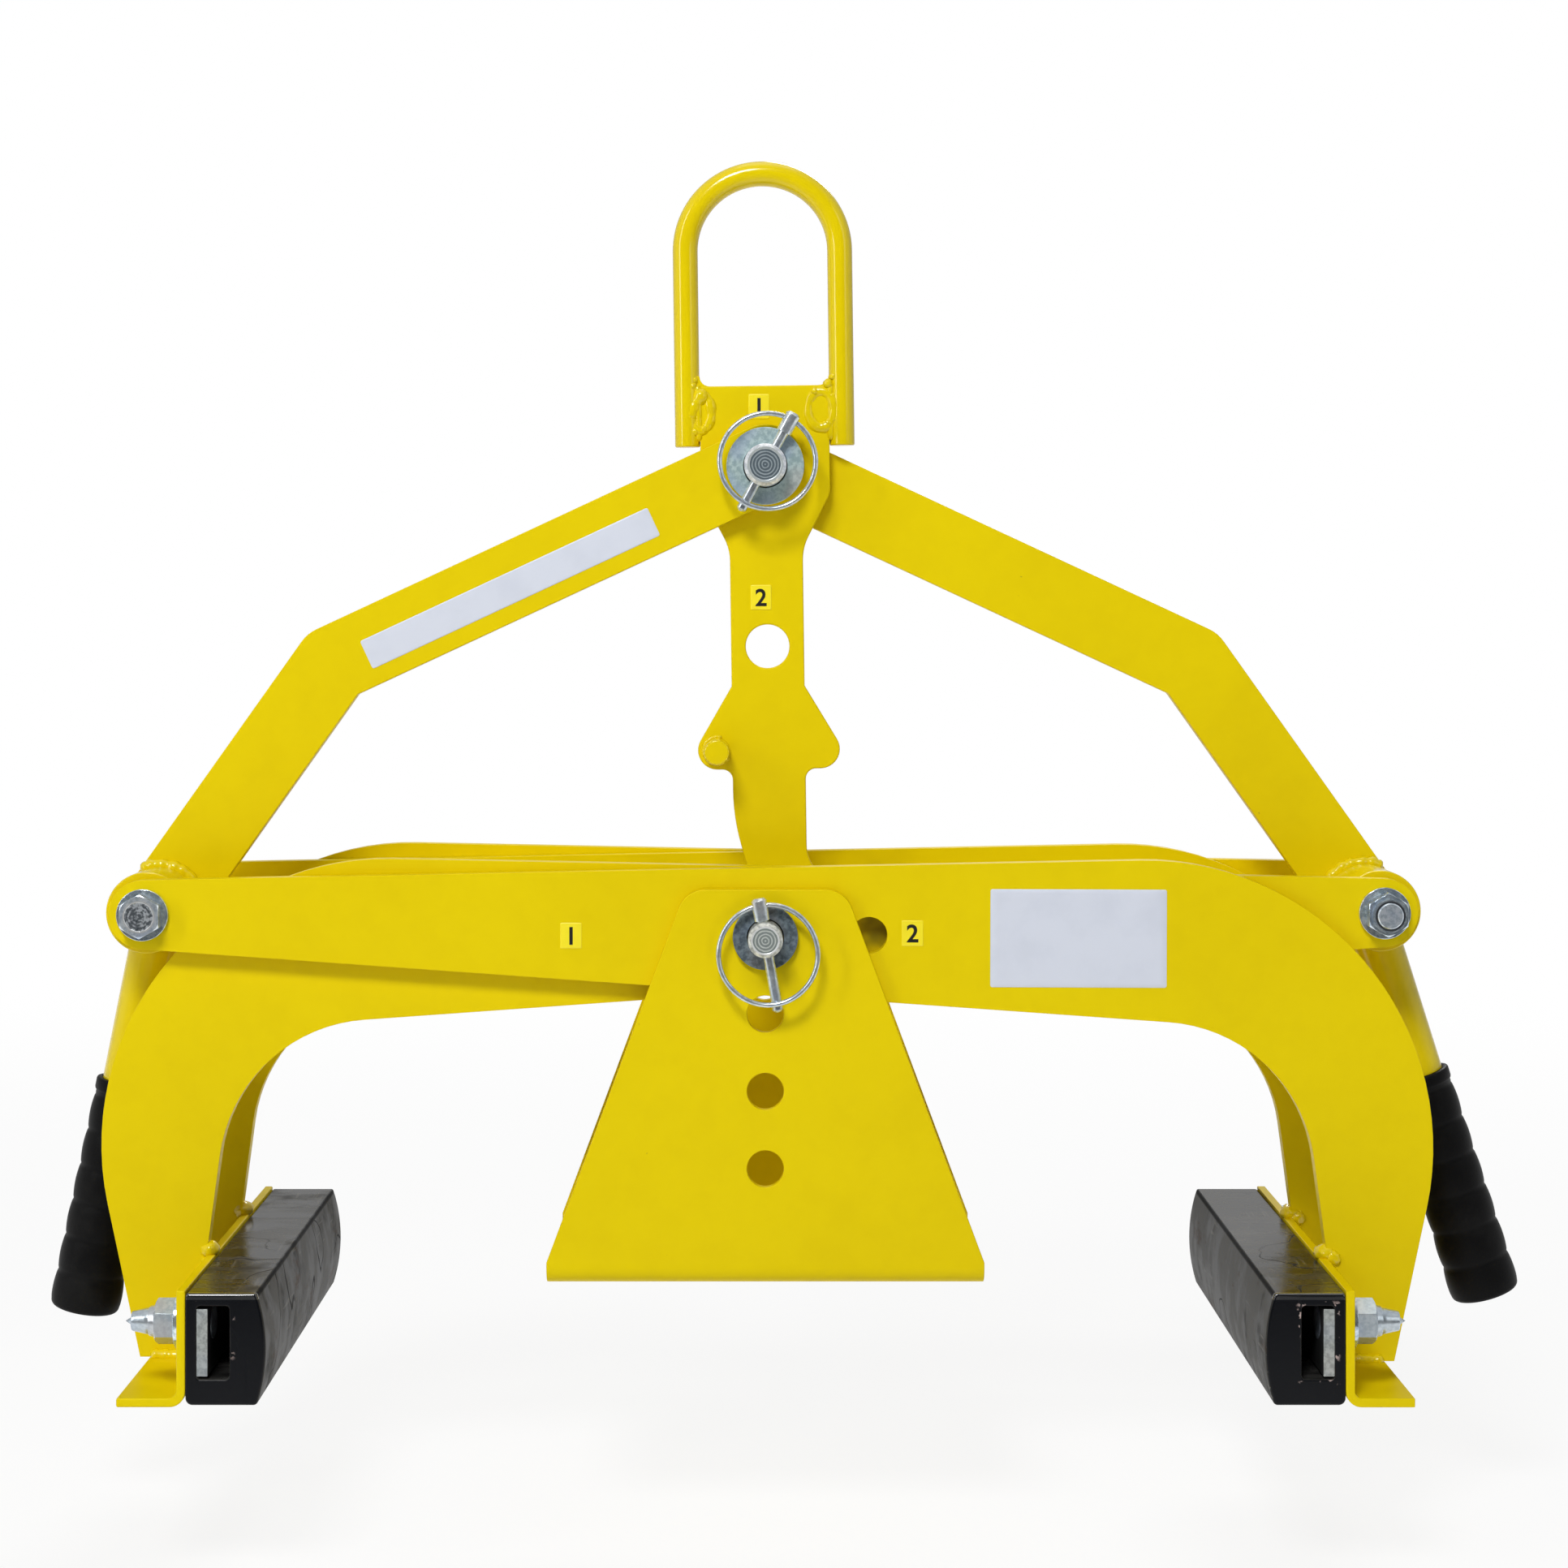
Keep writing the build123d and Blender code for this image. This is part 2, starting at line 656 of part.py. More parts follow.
def write_pin_set(node, height, stack, diameter, washer_outside, lean_angle, lift):
    """Write a headed pin with its washer, linch pin and ring.

    The pin runs through a stack that reaches as far to the front as to the back of the middle plane. The
    linch pin leans in the plane of the tongs, its head lifted off the pin, and the ring hangs from the linch
    pin's head and passes in front of its tip.
    """
    centre = Vector(0, 0, height)
    front = Plane(origin=centre, x_dir=(1, 0, 0), z_dir=(0, -1, 0))
    washer_face = stack + layer_gap
    linch_depth = washer_face + pin_washer_thickness + linch_seat_gap + linch_head_diameter / 2
    pin_end = linch_depth + linch_diameter / 2 + pin_tail
    angle = radians(lean_angle)
    linch_up = Vector(sin(angle), 0, cos(angle))
    linch_side = Vector(cos(angle), 0, -sin(angle))
    linch_middle = centre - Vector(0, linch_depth, 0)
    across = Plane(origin=linch_middle, x_dir=linch_side, z_dir=linch_up)
    above_linch = linch_middle + linch_up * linch_length
    below_linch = linch_middle - linch_up * linch_length
    head_bottom = diameter / 2 + lift
    ring_hole = linch_middle + linch_up * (head_bottom + ring_hole_height)
    hole_plane = Plane(origin=ring_hole, x_dir=linch_up, z_dir=linch_side)

    with BuildPart() as pin:
        with BuildSketch(front.offset(-washer_face)):
            Circle(diameter / 2)
        extrude(amount=washer_face + pin_end)
        chamfer(pin.faces().sort_by(Axis.Y)[0].edges(), pin_chamfer)
        with BuildSketch(front.offset(-washer_face)):
            Circle(washer_outside / 2)
        extrude(amount=-pin_head_height)
        chamfer(pin.faces().sort_by(Axis.Y)[-1].edges(), pin_chamfer)
        with BuildSketch(across):
            Circle(linch_diameter / 2 + linch_hole_clearance)
        extrude(amount=diameter, both=True, mode=Mode.SUBTRACT)
    write(pin.part, f"{node}_pin")

    pin_washer = washer(
        front.offset(washer_face), washer_outside, diameter / 2 + pin_hole_clearance, pin_washer_thickness
    )
    write(pin_washer, f"{node}_washer")

    with BuildPart() as linch_pin:
        with BuildSketch(across.offset(head_bottom + linch_head_length - linch_length)):
            Circle(linch_diameter / 2)
        extrude(amount=linch_length - linch_head_length)
        chamfer(linch_pin.faces().sort_by_distance(below_linch)[0].edges(), linch_chamfer)
        with BuildSketch(across.offset(head_bottom)):
            Circle(linch_head_diameter / 2)
        extrude(amount=linch_head_length)
        chamfer(linch_pin.faces().sort_by_distance(above_linch)[0].edges(), linch_chamfer)
        with BuildSketch(hole_plane):
            Circle(ring_wire / 2 + ring_hole_clearance)
        extrude(amount=linch_head_diameter, both=True, mode=Mode.SUBTRACT)
    write(linch_pin.part, f"{node}_linch_pin")

    ring_lead = asin((linch_diameter / 2 + ring_wire / 2 + ring_tip_gap) / (2 * ring_radius))
    ring_down = linch_up * -cos(ring_lead) - Vector(0, sin(ring_lead), 0)
    ring_plane = Plane(
        origin=ring_hole + ring_down * ring_radius, x_dir=linch_side, z_dir=linch_side.cross(ring_down)
    )
    wire_start = Plane(origin=ring_hole, x_dir=ring_down, z_dir=linch_side)
    with BuildPart() as linch_ring:
        with BuildSketch(wire_start):
            Circle(ring_wire / 2)
        revolve(axis=Axis(ring_plane.origin, ring_plane.z_dir))
    write(linch_ring.part, f"{node}_linch_ring")


write_pin_set(
    "top",
    top_pin_height,
    link_far,
    top_pin_diameter,
    top_washer_diameter,
    top_linch_lean,
    top_linch_lift,
)
write_pin_set(
    "centre",
    centre_pin_height,
    stop_far,
    centre_pin_diameter,
    centre_washer_diameter,
    centre_linch_lean,
    centre_linch_lift,
)

# Sleeve on the centre pin that keeps the inner plates apart and takes the latch hook
with BuildPart() as centre_sleeve:
    with BuildSketch(depth_plane(sleeve_length / 2)):
        with Locations((0, centre_pin_height)):
            Circle(sleeve_diameter / 2)
            Circle(centre_pin_diameter / 2 + bolt_clearance, mode=Mode.SUBTRACT)
    extrude(amount=sleeve_length)
write(centre_sleeve.part, "centre_sleeve")

# Depth stop: a plate folded into a U around the arms, with a row of height holes
stop_top = centre_pin_height + stop_top_rise
stop_floor = stop_bottom_height + stop_thickness
with BuildPart() as depth_stop:
    with BuildSketch(depth_plane(stop_far)) as stop_outline:
        with BuildLine():
            Polyline(
                (-stop_top_width / 2, stop_top),
                (stop_top_width / 2, stop_top),
                (stop_bottom_width / 2, stop_bottom_height + stop_edge_height),
                (stop_bottom_width / 2, stop_bottom_height),
                (-stop_bottom_width / 2, stop_bottom_height),
                (-stop_bottom_width / 2, stop_bottom_height + stop_edge_height),
                close=True,
            )
        make_face()
        fillet(stop_outline.vertices().group_by(Axis.Y)[-1], stop_top_curve)
    extrude(amount=2 * stop_far)
    fillet(depth_stop.edges().filter_by(Axis.X).group_by(Axis.Z)[0], stop_bend + stop_thickness)
    with BuildSketch(Plane.YZ.offset(-stop_bottom_width / 2)) as stop_hollow:
        with Locations((0, stop_floor)):
            Rectangle(2 * stop_near, stop_top - stop_bottom_height, align=(Align.CENTER, Align.MIN))
        fillet(stop_hollow.vertices().group_by(Axis.Y)[0], stop_bend)
    extrude(amount=stop_bottom_width, mode=Mode.SUBTRACT)
    with BuildSketch(depth_plane(stop_far)):
        for hole in range(stop_hole_count):
            with Locations((0, centre_pin_height - hole * stop_hole_pitch)):
                Circle(centre_hole_radius)
    extrude(amount=2 * stop_far, mode=Mode.SUBTRACT)
write(depth_stop.part, "depth_stop")
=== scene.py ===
"""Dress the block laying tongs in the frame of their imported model, then light and frame them.

Lengths are in millimetres unless a name says otherwise: X across the jaws, Y to the back and Z up, drawn
about the centre pin's line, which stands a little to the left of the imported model's origin. Every left piece
of a pair is the right piece turned half a turn about that line, apart from the handles, which lean by
different angles.
"""
from __future__ import annotations

import json
import logging
from dataclasses import dataclass, field
from enum import Enum
from math import acos, atan2, ceil, cos, hypot, pi, radians, sin, sqrt
from typing import Iterable, Optional, Sequence, Union

import bmesh
import bpy
from mathutils import Matrix, Vector, noise

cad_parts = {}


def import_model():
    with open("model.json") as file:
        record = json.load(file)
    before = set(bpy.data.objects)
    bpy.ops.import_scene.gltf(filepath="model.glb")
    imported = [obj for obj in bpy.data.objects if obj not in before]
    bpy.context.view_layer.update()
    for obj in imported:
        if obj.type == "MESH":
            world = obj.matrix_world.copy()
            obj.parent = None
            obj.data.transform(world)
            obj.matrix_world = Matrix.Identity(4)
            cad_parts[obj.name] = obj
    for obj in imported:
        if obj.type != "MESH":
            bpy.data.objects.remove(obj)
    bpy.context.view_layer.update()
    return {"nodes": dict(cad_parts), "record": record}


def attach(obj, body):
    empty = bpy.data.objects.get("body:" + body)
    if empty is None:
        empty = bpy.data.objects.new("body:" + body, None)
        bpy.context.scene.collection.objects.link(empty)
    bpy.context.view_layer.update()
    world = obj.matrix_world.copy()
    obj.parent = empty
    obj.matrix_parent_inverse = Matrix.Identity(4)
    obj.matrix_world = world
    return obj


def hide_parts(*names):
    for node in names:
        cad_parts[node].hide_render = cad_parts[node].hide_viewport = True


LOG = logging.getLogger("tongs")
MM = 0.001
FULL_TURN = 2 * pi
PHOTO_SIDE_PX = 1932
MERGE_M = 1e-7
SEAM_M = 2e-6
FLAT_DEG = 0.2
SHARP_DEG = 32.0
ARC_STEP_DEG = 5.0
CORNER_STEPS = 6
PIN_X = -10.165
PIN_LINE = Vector((PIN_X, 0.0, 0.0))
CENTRE_PIN_Z = 201.0
TOP_PIN_Z = 420.0
PIVOT_X = 288.0
PIVOT_Z = 210.5
PAD_EDGE_X = 224.5
PAD_TOP_Z = 50.3
PAD_HALF_LENGTH = 120.0
PAD_SLOT_X = (236.5, 251.0)
PAD_SLOT_Z = (12.5, 44.5)
RIGHT = Vector((1.0, 0.0, 0.0))
BACK = Vector((0.0, 1.0, 0.0))
UP = Vector((0.0, 0.0, 1.0))
ASKEW = Vector((0.31, 0.83, 0.46))

Colour = tuple[float, float, float]
Flat = tuple[float, float]
Number = Union["Signal", float]
Input = Union["Signal", float, Sequence[float]]


class Slot(Enum):
    """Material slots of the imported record."""

    PAINT = "yellow_paint"
    ZINC = "zinc_plate"
    PAD = "pad_rubber"
    GRIP = "grip_rubber"


class Side(Enum):
    """The two sides of the tongs, the left being the right turned half a turn about Z."""

    RIGHT = "right"
    LEFT = "left"

    @property
    def turn(self) -> Matrix:
        """Turn that brings a right piece to this side."""
        return Matrix.Rotation(0.0 if self is Side.RIGHT else pi, 3, "Z")

    @property
    def other(self) -> Side:
        """The opposite side."""
        return Side.LEFT if self is Side.RIGHT else Side.RIGHT

    @property
    def arm(self) -> str:
        """Body of the tong arm whose jaw is on this side."""
        return f"{self.value}_arm"

    @property
    def link(self) -> str:
        """Body of the link whose handle is on this side."""
        return f"{self.value}_link"


class Signal:
    """A shader socket whose arithmetic adds Math nodes."""

    def __init__(self, sheet: ShaderSheet, socket: bpy.types.NodeSocket) -> None:
        """Keep a socket and the sheet that its nodes go on."""
        self.sheet = sheet
        self.socket = socket

    def __add__(self, other: Number) -> Signal:
        """Add a number or a signal."""
        return self.sheet.maths("ADD", self, other)

    __radd__ = __add__

    def __sub__(self, other: Number) -> Signal:
        """Take away a number or a signal."""
        return self.sheet.maths("SUBTRACT", self, other)

    def __rsub__(self, other: Number) -> Signal:
        """Take this signal away from a number."""
        return self.sheet.maths("SUBTRACT", other, self)

    def __mul__(self, other: Number) -> Signal:
        """Multiply by a number or a signal."""
        return self.sheet.maths("MULTIPLY", self, other)

    __rmul__ = __mul__

    def __neg__(self) -> Signal:
        """Change the sign."""
        return self.sheet.maths("MULTIPLY", self, -1.0)

    def __abs__(self) -> Signal:
        """Drop the sign."""
        return self.sheet.maths("ABSOLUTE", self)

    def over(self, other: Number) -> Signal:
        """Keep the larger of this and another."""
        return self.sheet.maths("MAXIMUM", self, other)

    def step(self, low: float, high: float) -> Signal:
        """Rise smoothly from 0 at one level to 1 at another.

        Args:
            low: Level at which the step starts.
            high: Level at which the step ends, which may be the lower one.

        Returns:
            The step, from 0 to 1.
        """
        settings = {"interpolation_type": "SMOOTHSTEP"}
        if low < high:
            return self.sheet.node("ShaderNodeMapRange", settings, {0: self, 1: low, 2: high})
        return 1.0 - self.sheet.node("ShaderNodeMapRange", settings, {0: self, 1: high, 2: low})


class ShaderSheet:
    """The node sheet of one material or world."""

    def __init__(self, tree: bpy.types.NodeTree) -> None:
        """Start an empty sheet."""
        self.tree = tree
        tree.nodes.clear()

    @classmethod
    def of_material(cls, name: str) -> tuple[ShaderSheet, bpy.types.Material]:
        """Make a material.

        Args:
            name: The material's name.

        Returns:
            Its empty sheet, and the material.
        """
        material = bpy.data.materials.new(name)
        material.use_nodes = True
        return cls(material.node_tree), material

    def node(
        self,
        kind: str,
        settings: Optional[dict[str, object]] = None,
        inputs: Optional[dict[Union[int, str], Input]] = None,
        output: Union[int, str] = 0,
    ) -> Signal:
        """Add a node.

        Args:
            kind: Blender's name of the node's type.
            settings: Values of the node's own settings, which are set first.
            inputs: Values or links of its input sockets.
            output: The output socket to hand back.

        Returns:
            The output as a signal.
        """
        node = self.tree.nodes.new(kind)
        for name, value in (settings or {}).items():
            setattr(node, name, value)
        for name, value in (inputs or {}).items():
            if isinstance(value, Signal):
                self.tree.links.new(value.socket, node.inputs[name])
            else:
                node.inputs[name].default_value = value
        return Signal(self, node.outputs[output])

    def maths(self, operation: str, *values: Number) -> Signal:
        """Add a Math node on up to two values."""
        return self.node("ShaderNodeMath", {"operation": operation}, dict(enumerate(values)))

    def place(self) -> Signal:
        """Point of the surface in the frame of the CAD, in metres."""
        return self.node("ShaderNodeTexCoord", output="Object")

    def facing(self) -> list[Signal]:
        """X, Y and Z of the surface's own normal."""
        return self.split(self.node("ShaderNodeTexCoord", output="Normal"))

    def split(self, vector: Signal) -> list[Signal]:
        """X, Y and Z of a vector."""
        first = self.node("ShaderNodeSeparateXYZ", inputs={0: vector})
        return [Signal(self, socket) for socket in first.socket.node.outputs]

    def stretched(self, vector: Signal, scale: Sequence[float]) -> Signal:
        """Multiply a vector by a scale for each axis."""
        return self.node("ShaderNodeVectorMath", {"operation": "MULTIPLY"}, {0: vector, 1: scale})

    def grain(self, vector: Signal, scale: float, detail: float = 2.0, rough: float = 0.5) -> Signal:
        """Noise that varies about one half.

        Args:
            vector: Where the noise is read.
            scale: How many of its humps lie in a metre.
            detail: How many finer layers it has.
            rough: How strong each finer layer is.

        Returns:
            The noise, from 0 to 1.
        """
        inputs = {"Vector": vector, "Scale": scale, "Detail": detail, "Roughness": rough}
        return self.node("ShaderNodeTexNoise", inputs=inputs)

    def blend(self, factor: Number, first: Input, second: Input) -> Signal:
        """Mix two colours, the first where the factor is 0."""
        inputs = {0: factor, 6: solid(first), 7: solid(second)}
        return self.node("ShaderNodeMix", {"data_type": "RGBA"}, inputs, output=2)

    def relief(self, height: Signal, depth_mm: float, under: Optional[Signal] = None) -> Signal:
        """Bump the surface.

        Args:
            height: Height of the bump, from 0 to 1.
            depth_mm: How deep a bump from 0 to 1 is.
            under: A bump that lies under this one.

        Returns:
            The bumped normal.
        """
        inputs: dict[Union[int, str], Input] = {"Strength": 1.0, "Distance": depth_mm * MM, "Height": height}
        if under is not None:
            inputs["Normal"] = under
        return self.node("ShaderNodeBump", inputs=inputs)

    def surface(self, **inputs: Input) -> None:
        """Add the Principled shader and the output.

        Args:
            inputs: Values or links of the shader's sockets, with underscores for the spaces in their names.
        """
        named = {name.replace("_", " "): value for name, value in inputs.items()}
        shader = self.node("ShaderNodeBsdfPrincipled", inputs=named)
        self.node_output("ShaderNodeOutputMaterial", shader)

    def node_output(self, kind: str, shader: Signal) -> None:
        """Link a shader to the sheet's output."""
        output = self.tree.nodes.new(kind)
        self.tree.links.new(shader.socket, output.inputs["Surface"])

    def ray(self, kind: str) -> Signal:
        """One for rays of a kind that the Light Path node names, and 0 for the others."""
        return self.node("ShaderNodeLightPath", output=f"Is {kind} Ray")

    def seen_ray(self) -> Signal:
        """One for rays from the camera, a mirror or glass, and 0 for rays that light things."""
        return self.ray("Camera").over(self.ray("Glossy")).over(self.ray("Transmission"))

    def radius_from(self, place: Signal, axis: Flat, paired: bool = False) -> Signal:
        """Distance of the surface from an axis that runs from front to back.

        Args:
            place: Point of the surface.
            axis: X and Z of the axis, drawn about the centre pin's line.
            paired: Whether a second axis stands as far to the left.

        Returns:
            The distance in metres.
        """
        x, _, z = self.split(place)
        aside = x - PIN_X * MM
        right = (abs(aside) if paired else aside) - axis[0] * MM
        up = z - axis[1] * MM
        return self.maths("SQRT", right * right + up * up)


def solid(colour: Input) -> Input:
    """Give a plain colour its alpha, and leave a signal as it is."""
    return colour if isinstance(colour, Signal) else (*colour, 1.0)


@dataclass(frozen=True)
class PaintFinish:
    """Yellow powder coat: faint clouds, orange peel, sparse specks, and, if given, a darker ring that is wear
    on the depth stop and painted shade on the inner arm plates.
    """

    name: str = "yellow_paint"
    colour: Colour = (0.82, 0.637, 0.0004)
    deep: Colour = (0.78, 0.597, 0.0003)
    speck: Colour = (0.36, 0.27, 0.02)
    # Colour of the darker ring: wear on the depth stop, painted shade on the inner arm plates.
    wear_and_shade: Colour = (0.60, 0.45, 0.001)
    roughness: float = 0.40
    specular: float = 0.10
    peel_mm: float = 0.014
    wear_and_shade_axis: Optional[Flat] = None
    wear_and_shade_radius: float = 25.0
    wear_and_shade_width: float = 4.0
    wear_and_shade_share: float = 0.34
    wear_and_shade_paired: bool = False

    def material(self) -> bpy.types.Material:
        """Make the material.

        Returns:
            The material.
        """
        sheet, material = ShaderSheet.of_material(self.name)
        place = sheet.place()
        clouds = sheet.grain(place, 9.0, 3.0)
        tone = clouds.step(0.36, 0.66) * 0.7 + sheet.grain(place, 75.0, 3.0).step(0.42, 0.66) * 0.3
        base = sheet.blend(tone, self.colour, self.deep)
        sparse = sheet.grain(place, 24.0, 1.0).step(0.58, 0.66)
        specks = sheet.grain(place, 330.0, 1.0).step(0.78, 0.83) * sparse
        base = sheet.blend(specks * 0.6, base, self.speck)
        dull = specks
        # Darker ring about an axis: wear on the depth stop, painted shade where the inner arm plates face each
        # other.
        if self.wear_and_shade_axis is not None:
            off = abs(sheet.radius_from(place, self.wear_and_shade_axis, self.wear_and_shade_paired) - self.wear_and_shade_radius * MM)
            ring = off.step(self.wear_and_shade_width * MM, 0.0) * sheet.grain(place, 42.0, 2.0).step(0.38, 0.62)
            base = sheet.blend(ring * self.wear_and_shade_share, base, self.wear_and_shade)
            dull = specks.over(ring * 0.5)
        peel = sheet.grain(place, 360.0, 1.0, 0.4)
        sheet.surface(
            Base_Color=base,
            Roughness=clouds * 0.06 + dull * 0.2 + (self.roughness - 0.03),
            Normal=sheet.relief(peel, self.peel_mm),
            Specular_IOR_Level=self.specular,
        )
        return material


@dataclass(frozen=True)
class ZincFinish:
    """Zinc plate with a fine mottle and faint rainbow tints, and on a turned end rings and a painted highlight
    on its rim.
    """

    name: str
    light: Colour = (0.94, 0.97, 1.0)
    dark: Colour = (0.56, 0.61, 0.66)
    cool_tint: Colour = (0.36, 0.46, 0.72)
    warm_tint: Colour = (0.70, 0.58, 0.52)
    # Colour of the rim round a turned end: a painted highlight.
    rim: Colour = (0.88, 0.90, 0.90)
    disc: Colour = (0.36, 0.40, 0.40)
    ring: Colour = (0.62, 0.66, 0.64)
    tint: float = 0.25
    metallic: float = 0.55
    roughness: float = 0.25
    mottle_scale: float = 480.0
    axis: Optional[Flat] = None
    paired: bool = False
    disc_radius: float = 7.4
    rim_highlight_width: float = 1.4
    ring_pitch: float = 1.5
    ring_fade: Flat = (0.42, 0.80)
    speckle: float = 0.0
    dish_mm: float = 0.15
    beyond: float = 0.0
    # Painted shade: how far and to what colour the sides of a piece darken.
    painted_side_shade: float = 0.0
    painted_side_shade_colour: Colour = (0.016, 0.016, 0.017)

    def material(self) -> bpy.types.Material:
        """Make the material.

        Returns:
            The material.
        """
        sheet, material = ShaderSheet.of_material(self.name)
        place = sheet.place()
        mottle = sheet.grain(place, self.mottle_scale, 3.0, 0.6)
        drift = sheet.grain(place, 48.0, 1.0)
        base = sheet.blend(mottle.step(0.36, 0.64), self.dark, self.light)
        base = sheet.blend(drift.step(0.50, 0.66) * self.tint, base, self.cool_tint)
        base = sheet.blend(drift.step(0.47, 0.34) * self.tint, base, self.warm_tint)
        normal = sheet.relief(sheet.grain(place, 900.0, 2.0), 0.004)
        roughness = mottle * 0.10 + (self.roughness - 0.05)
        if self.axis is not None:
            radius = sheet.radius_from(place, self.axis, self.paired)
            ends = abs(sheet.split(place)[1]).step((self.beyond - 0.5) * MM, self.beyond * MM)
            across = abs(sheet.facing()[1]).step(0.8, 0.95) * ends
            edge = self.disc_radius * MM
            disc = radius.step(edge + 0.0002, edge - 0.0002) * across
            # Painted highlight: a bright band round the edge of the turned end.
            outer = edge + self.rim_highlight_width * MM
            rim = radius.step(edge - 0.0002, edge + 0.0002) * radius.step(outer + 0.0003, outer) * across
            swirl = sheet.grain(place, 420.0, 2.0) * 2.4
            wave = sheet.maths("SINE", radius * (FULL_TURN / (self.ring_pitch * MM)) + swirl) * 0.5 + 0.5
            pattern = wave * (1.0 - self.speckle) + mottle * self.speckle
            rings = pattern.step(*self.ring_fade) * disc
            base = sheet.blend(disc, base, self.disc)
            base = sheet.blend(rings * 0.7, base, self.ring)
            base = sheet.blend(rim, base, self.rim)
            normal = sheet.relief(disc * -1.0 + rings * 0.2, self.dish_mm, normal)
            roughness = roughness + disc * 0.12
        # Painted shade: the clamp bar's sides, inside the pad's slot, darken towards black.
        if self.painted_side_shade:
            along = abs(sheet.facing()[1]).step(0.8, 0.5)
            base = sheet.blend(along * self.painted_side_shade, base, self.painted_side_shade_colour)
        sheet.surface(Base_Color=base, Metallic=self.metallic, Roughness=roughness, Normal=normal)
        return material


@dataclass(frozen=True)
class PadFinish:
    """Black extruded rubber: a dull sheen with smears on its long faces, brown stains, hairline cracks, and
    painted shade along the top edge of the crowned face.
    """

    name: str = "pad_rubber"
    black: Colour = (0.0040, 0.0046, 0.0064)
    bloom: Colour = (0.042, 0.041, 0.038)
    smudge: Colour = (0.010, 0.010, 0.010)
    stain: Colour = (0.060, 0.030, 0.017)
    scratch: Colour = (0.13, 0.125, 0.115)
    crumb: Colour = (0.42, 0.33, 0.31)

    def material(self) -> bpy.types.Material:
        """Make the material.

        Returns:
            The material.
        """
        sheet, material = ShaderSheet.of_material(self.name)
        place = sheet.place()
        x, y, z = sheet.split(place)
        aside = abs(x - PIN_X * MM)
        _, facing_y, facing_z = sheet.facing()
        ends = abs(facing_y).step(0.55, 0.85)
        top = facing_z.step(0.6, 0.9)
        smears = sheet.grain(sheet.stretched(place, (22.0, 55.0, 40.0)), 1.0, 4.0, 0.62)
        patches = sheet.grain(place, 26.0, 4.0, 0.65)
        rubs = sheet.grain(sheet.stretched(place, (60.0, 24.0, 55.0)), 1.0, 5.0, 0.7)
        grey = sheet.blend(smears.step(0.36, 0.62), self.smudge, self.bloom)
        grey = sheet.blend(patches.step(0.56, 0.76) * 0.8, grey, self.smudge)
        browned = rubs.step(0.57, 0.70) * (1.0 - top) * 0.6
        grey = sheet.blend(browned, grey, self.stain)
        contour = abs(sheet.grain(place, 15.0, 3.0, 0.4) - 0.5)
        crack = contour.step(0.006, 0.001) * sheet.grain(place, 9.0, 1.0).step(0.50, 0.58) * 0.85
        scored = sheet.grain(sheet.stretched(place, (420.0, 26.0, 420.0)), 1.0, 2.0).step(0.63, 0.70)
        scored = scored * patches.step(0.42, 0.56)
        grey = sheet.blend(scored * 0.55, grey, self.scratch)
        # Painted shade: a dark line along the top edge of the crowned face, standing for the shaded edge.
        edge = abs(aside - PAD_EDGE_X * MM).step(0.0010, 0.0003)
        seam = edge * (z - (PAD_TOP_Z - 2.5) * MM).step(0.0, 0.001)
        dark = crack.over(seam)
        grey = sheet.blend(dark * 0.9, grey, self.black)
        base = sheet.blend(ends, grey, self.black)
        base = sheet.blend(self.crumbs(sheet, place, aside, z) * ends, base, self.crumb)
        tip = abs(y).step((PAD_HALF_LENGTH - 2.5) * MM, (PAD_HALF_LENGTH - 1.5) * MM)
        relief = sheet.relief(sheet.grain(place, 700.0, 3.0), 0.008)
        relief = sheet.relief(smears, 0.05, relief)
        streaked = smears.step(0.40, 0.60) * 0.12 + patches.step(0.50, 0.75) * 0.28 + browned * 0.15
        sheet.surface(
            Base_Color=base,
            Roughness=(streaked + (1.0 - top) * 0.26) * (1.0 - ends) + dark * 0.4 + 0.17,
            Normal=relief,
            Specular_IOR_Level=0.17,
            Coat_Weight=tip * (z - (PAD_TOP_Z - 3.0) * MM).step(0.0, 0.0005),
            Coat_Roughness=0.08,
            Coat_IOR=1.9,
        )
        return material

    def crumbs(self, sheet: ShaderSheet, place: Signal, aside: Signal, z: Signal) -> Signal:
        """Torn crumbs of rubber round the slot's mouth.

        Args:
            sheet: The material's sheet.
            place: Point of the surface.
            aside: Its distance from the middle of the tongs.
            z: Its height.

        Returns:
            Where the crumbs are, from 0 to 1.
        """
        (left, right), (low, high) = PAD_SLOT_X, PAD_SLOT_Z
        beside = abs(aside - (left + right) / 2.0 * MM) - (right - left) / 2.0 * MM
        above = abs(z - (low + high) / 2.0 * MM) - (high - low) / 2.0 * MM
        near = beside.over(above).step(0.0030, 0.0008)
        torn = sheet.grain(place, 380.0, 2.0).step(0.60, 0.66)
        few = sheet.grain(place, 70.0, 1.0).step(0.50, 0.60)
        return near * torn * few


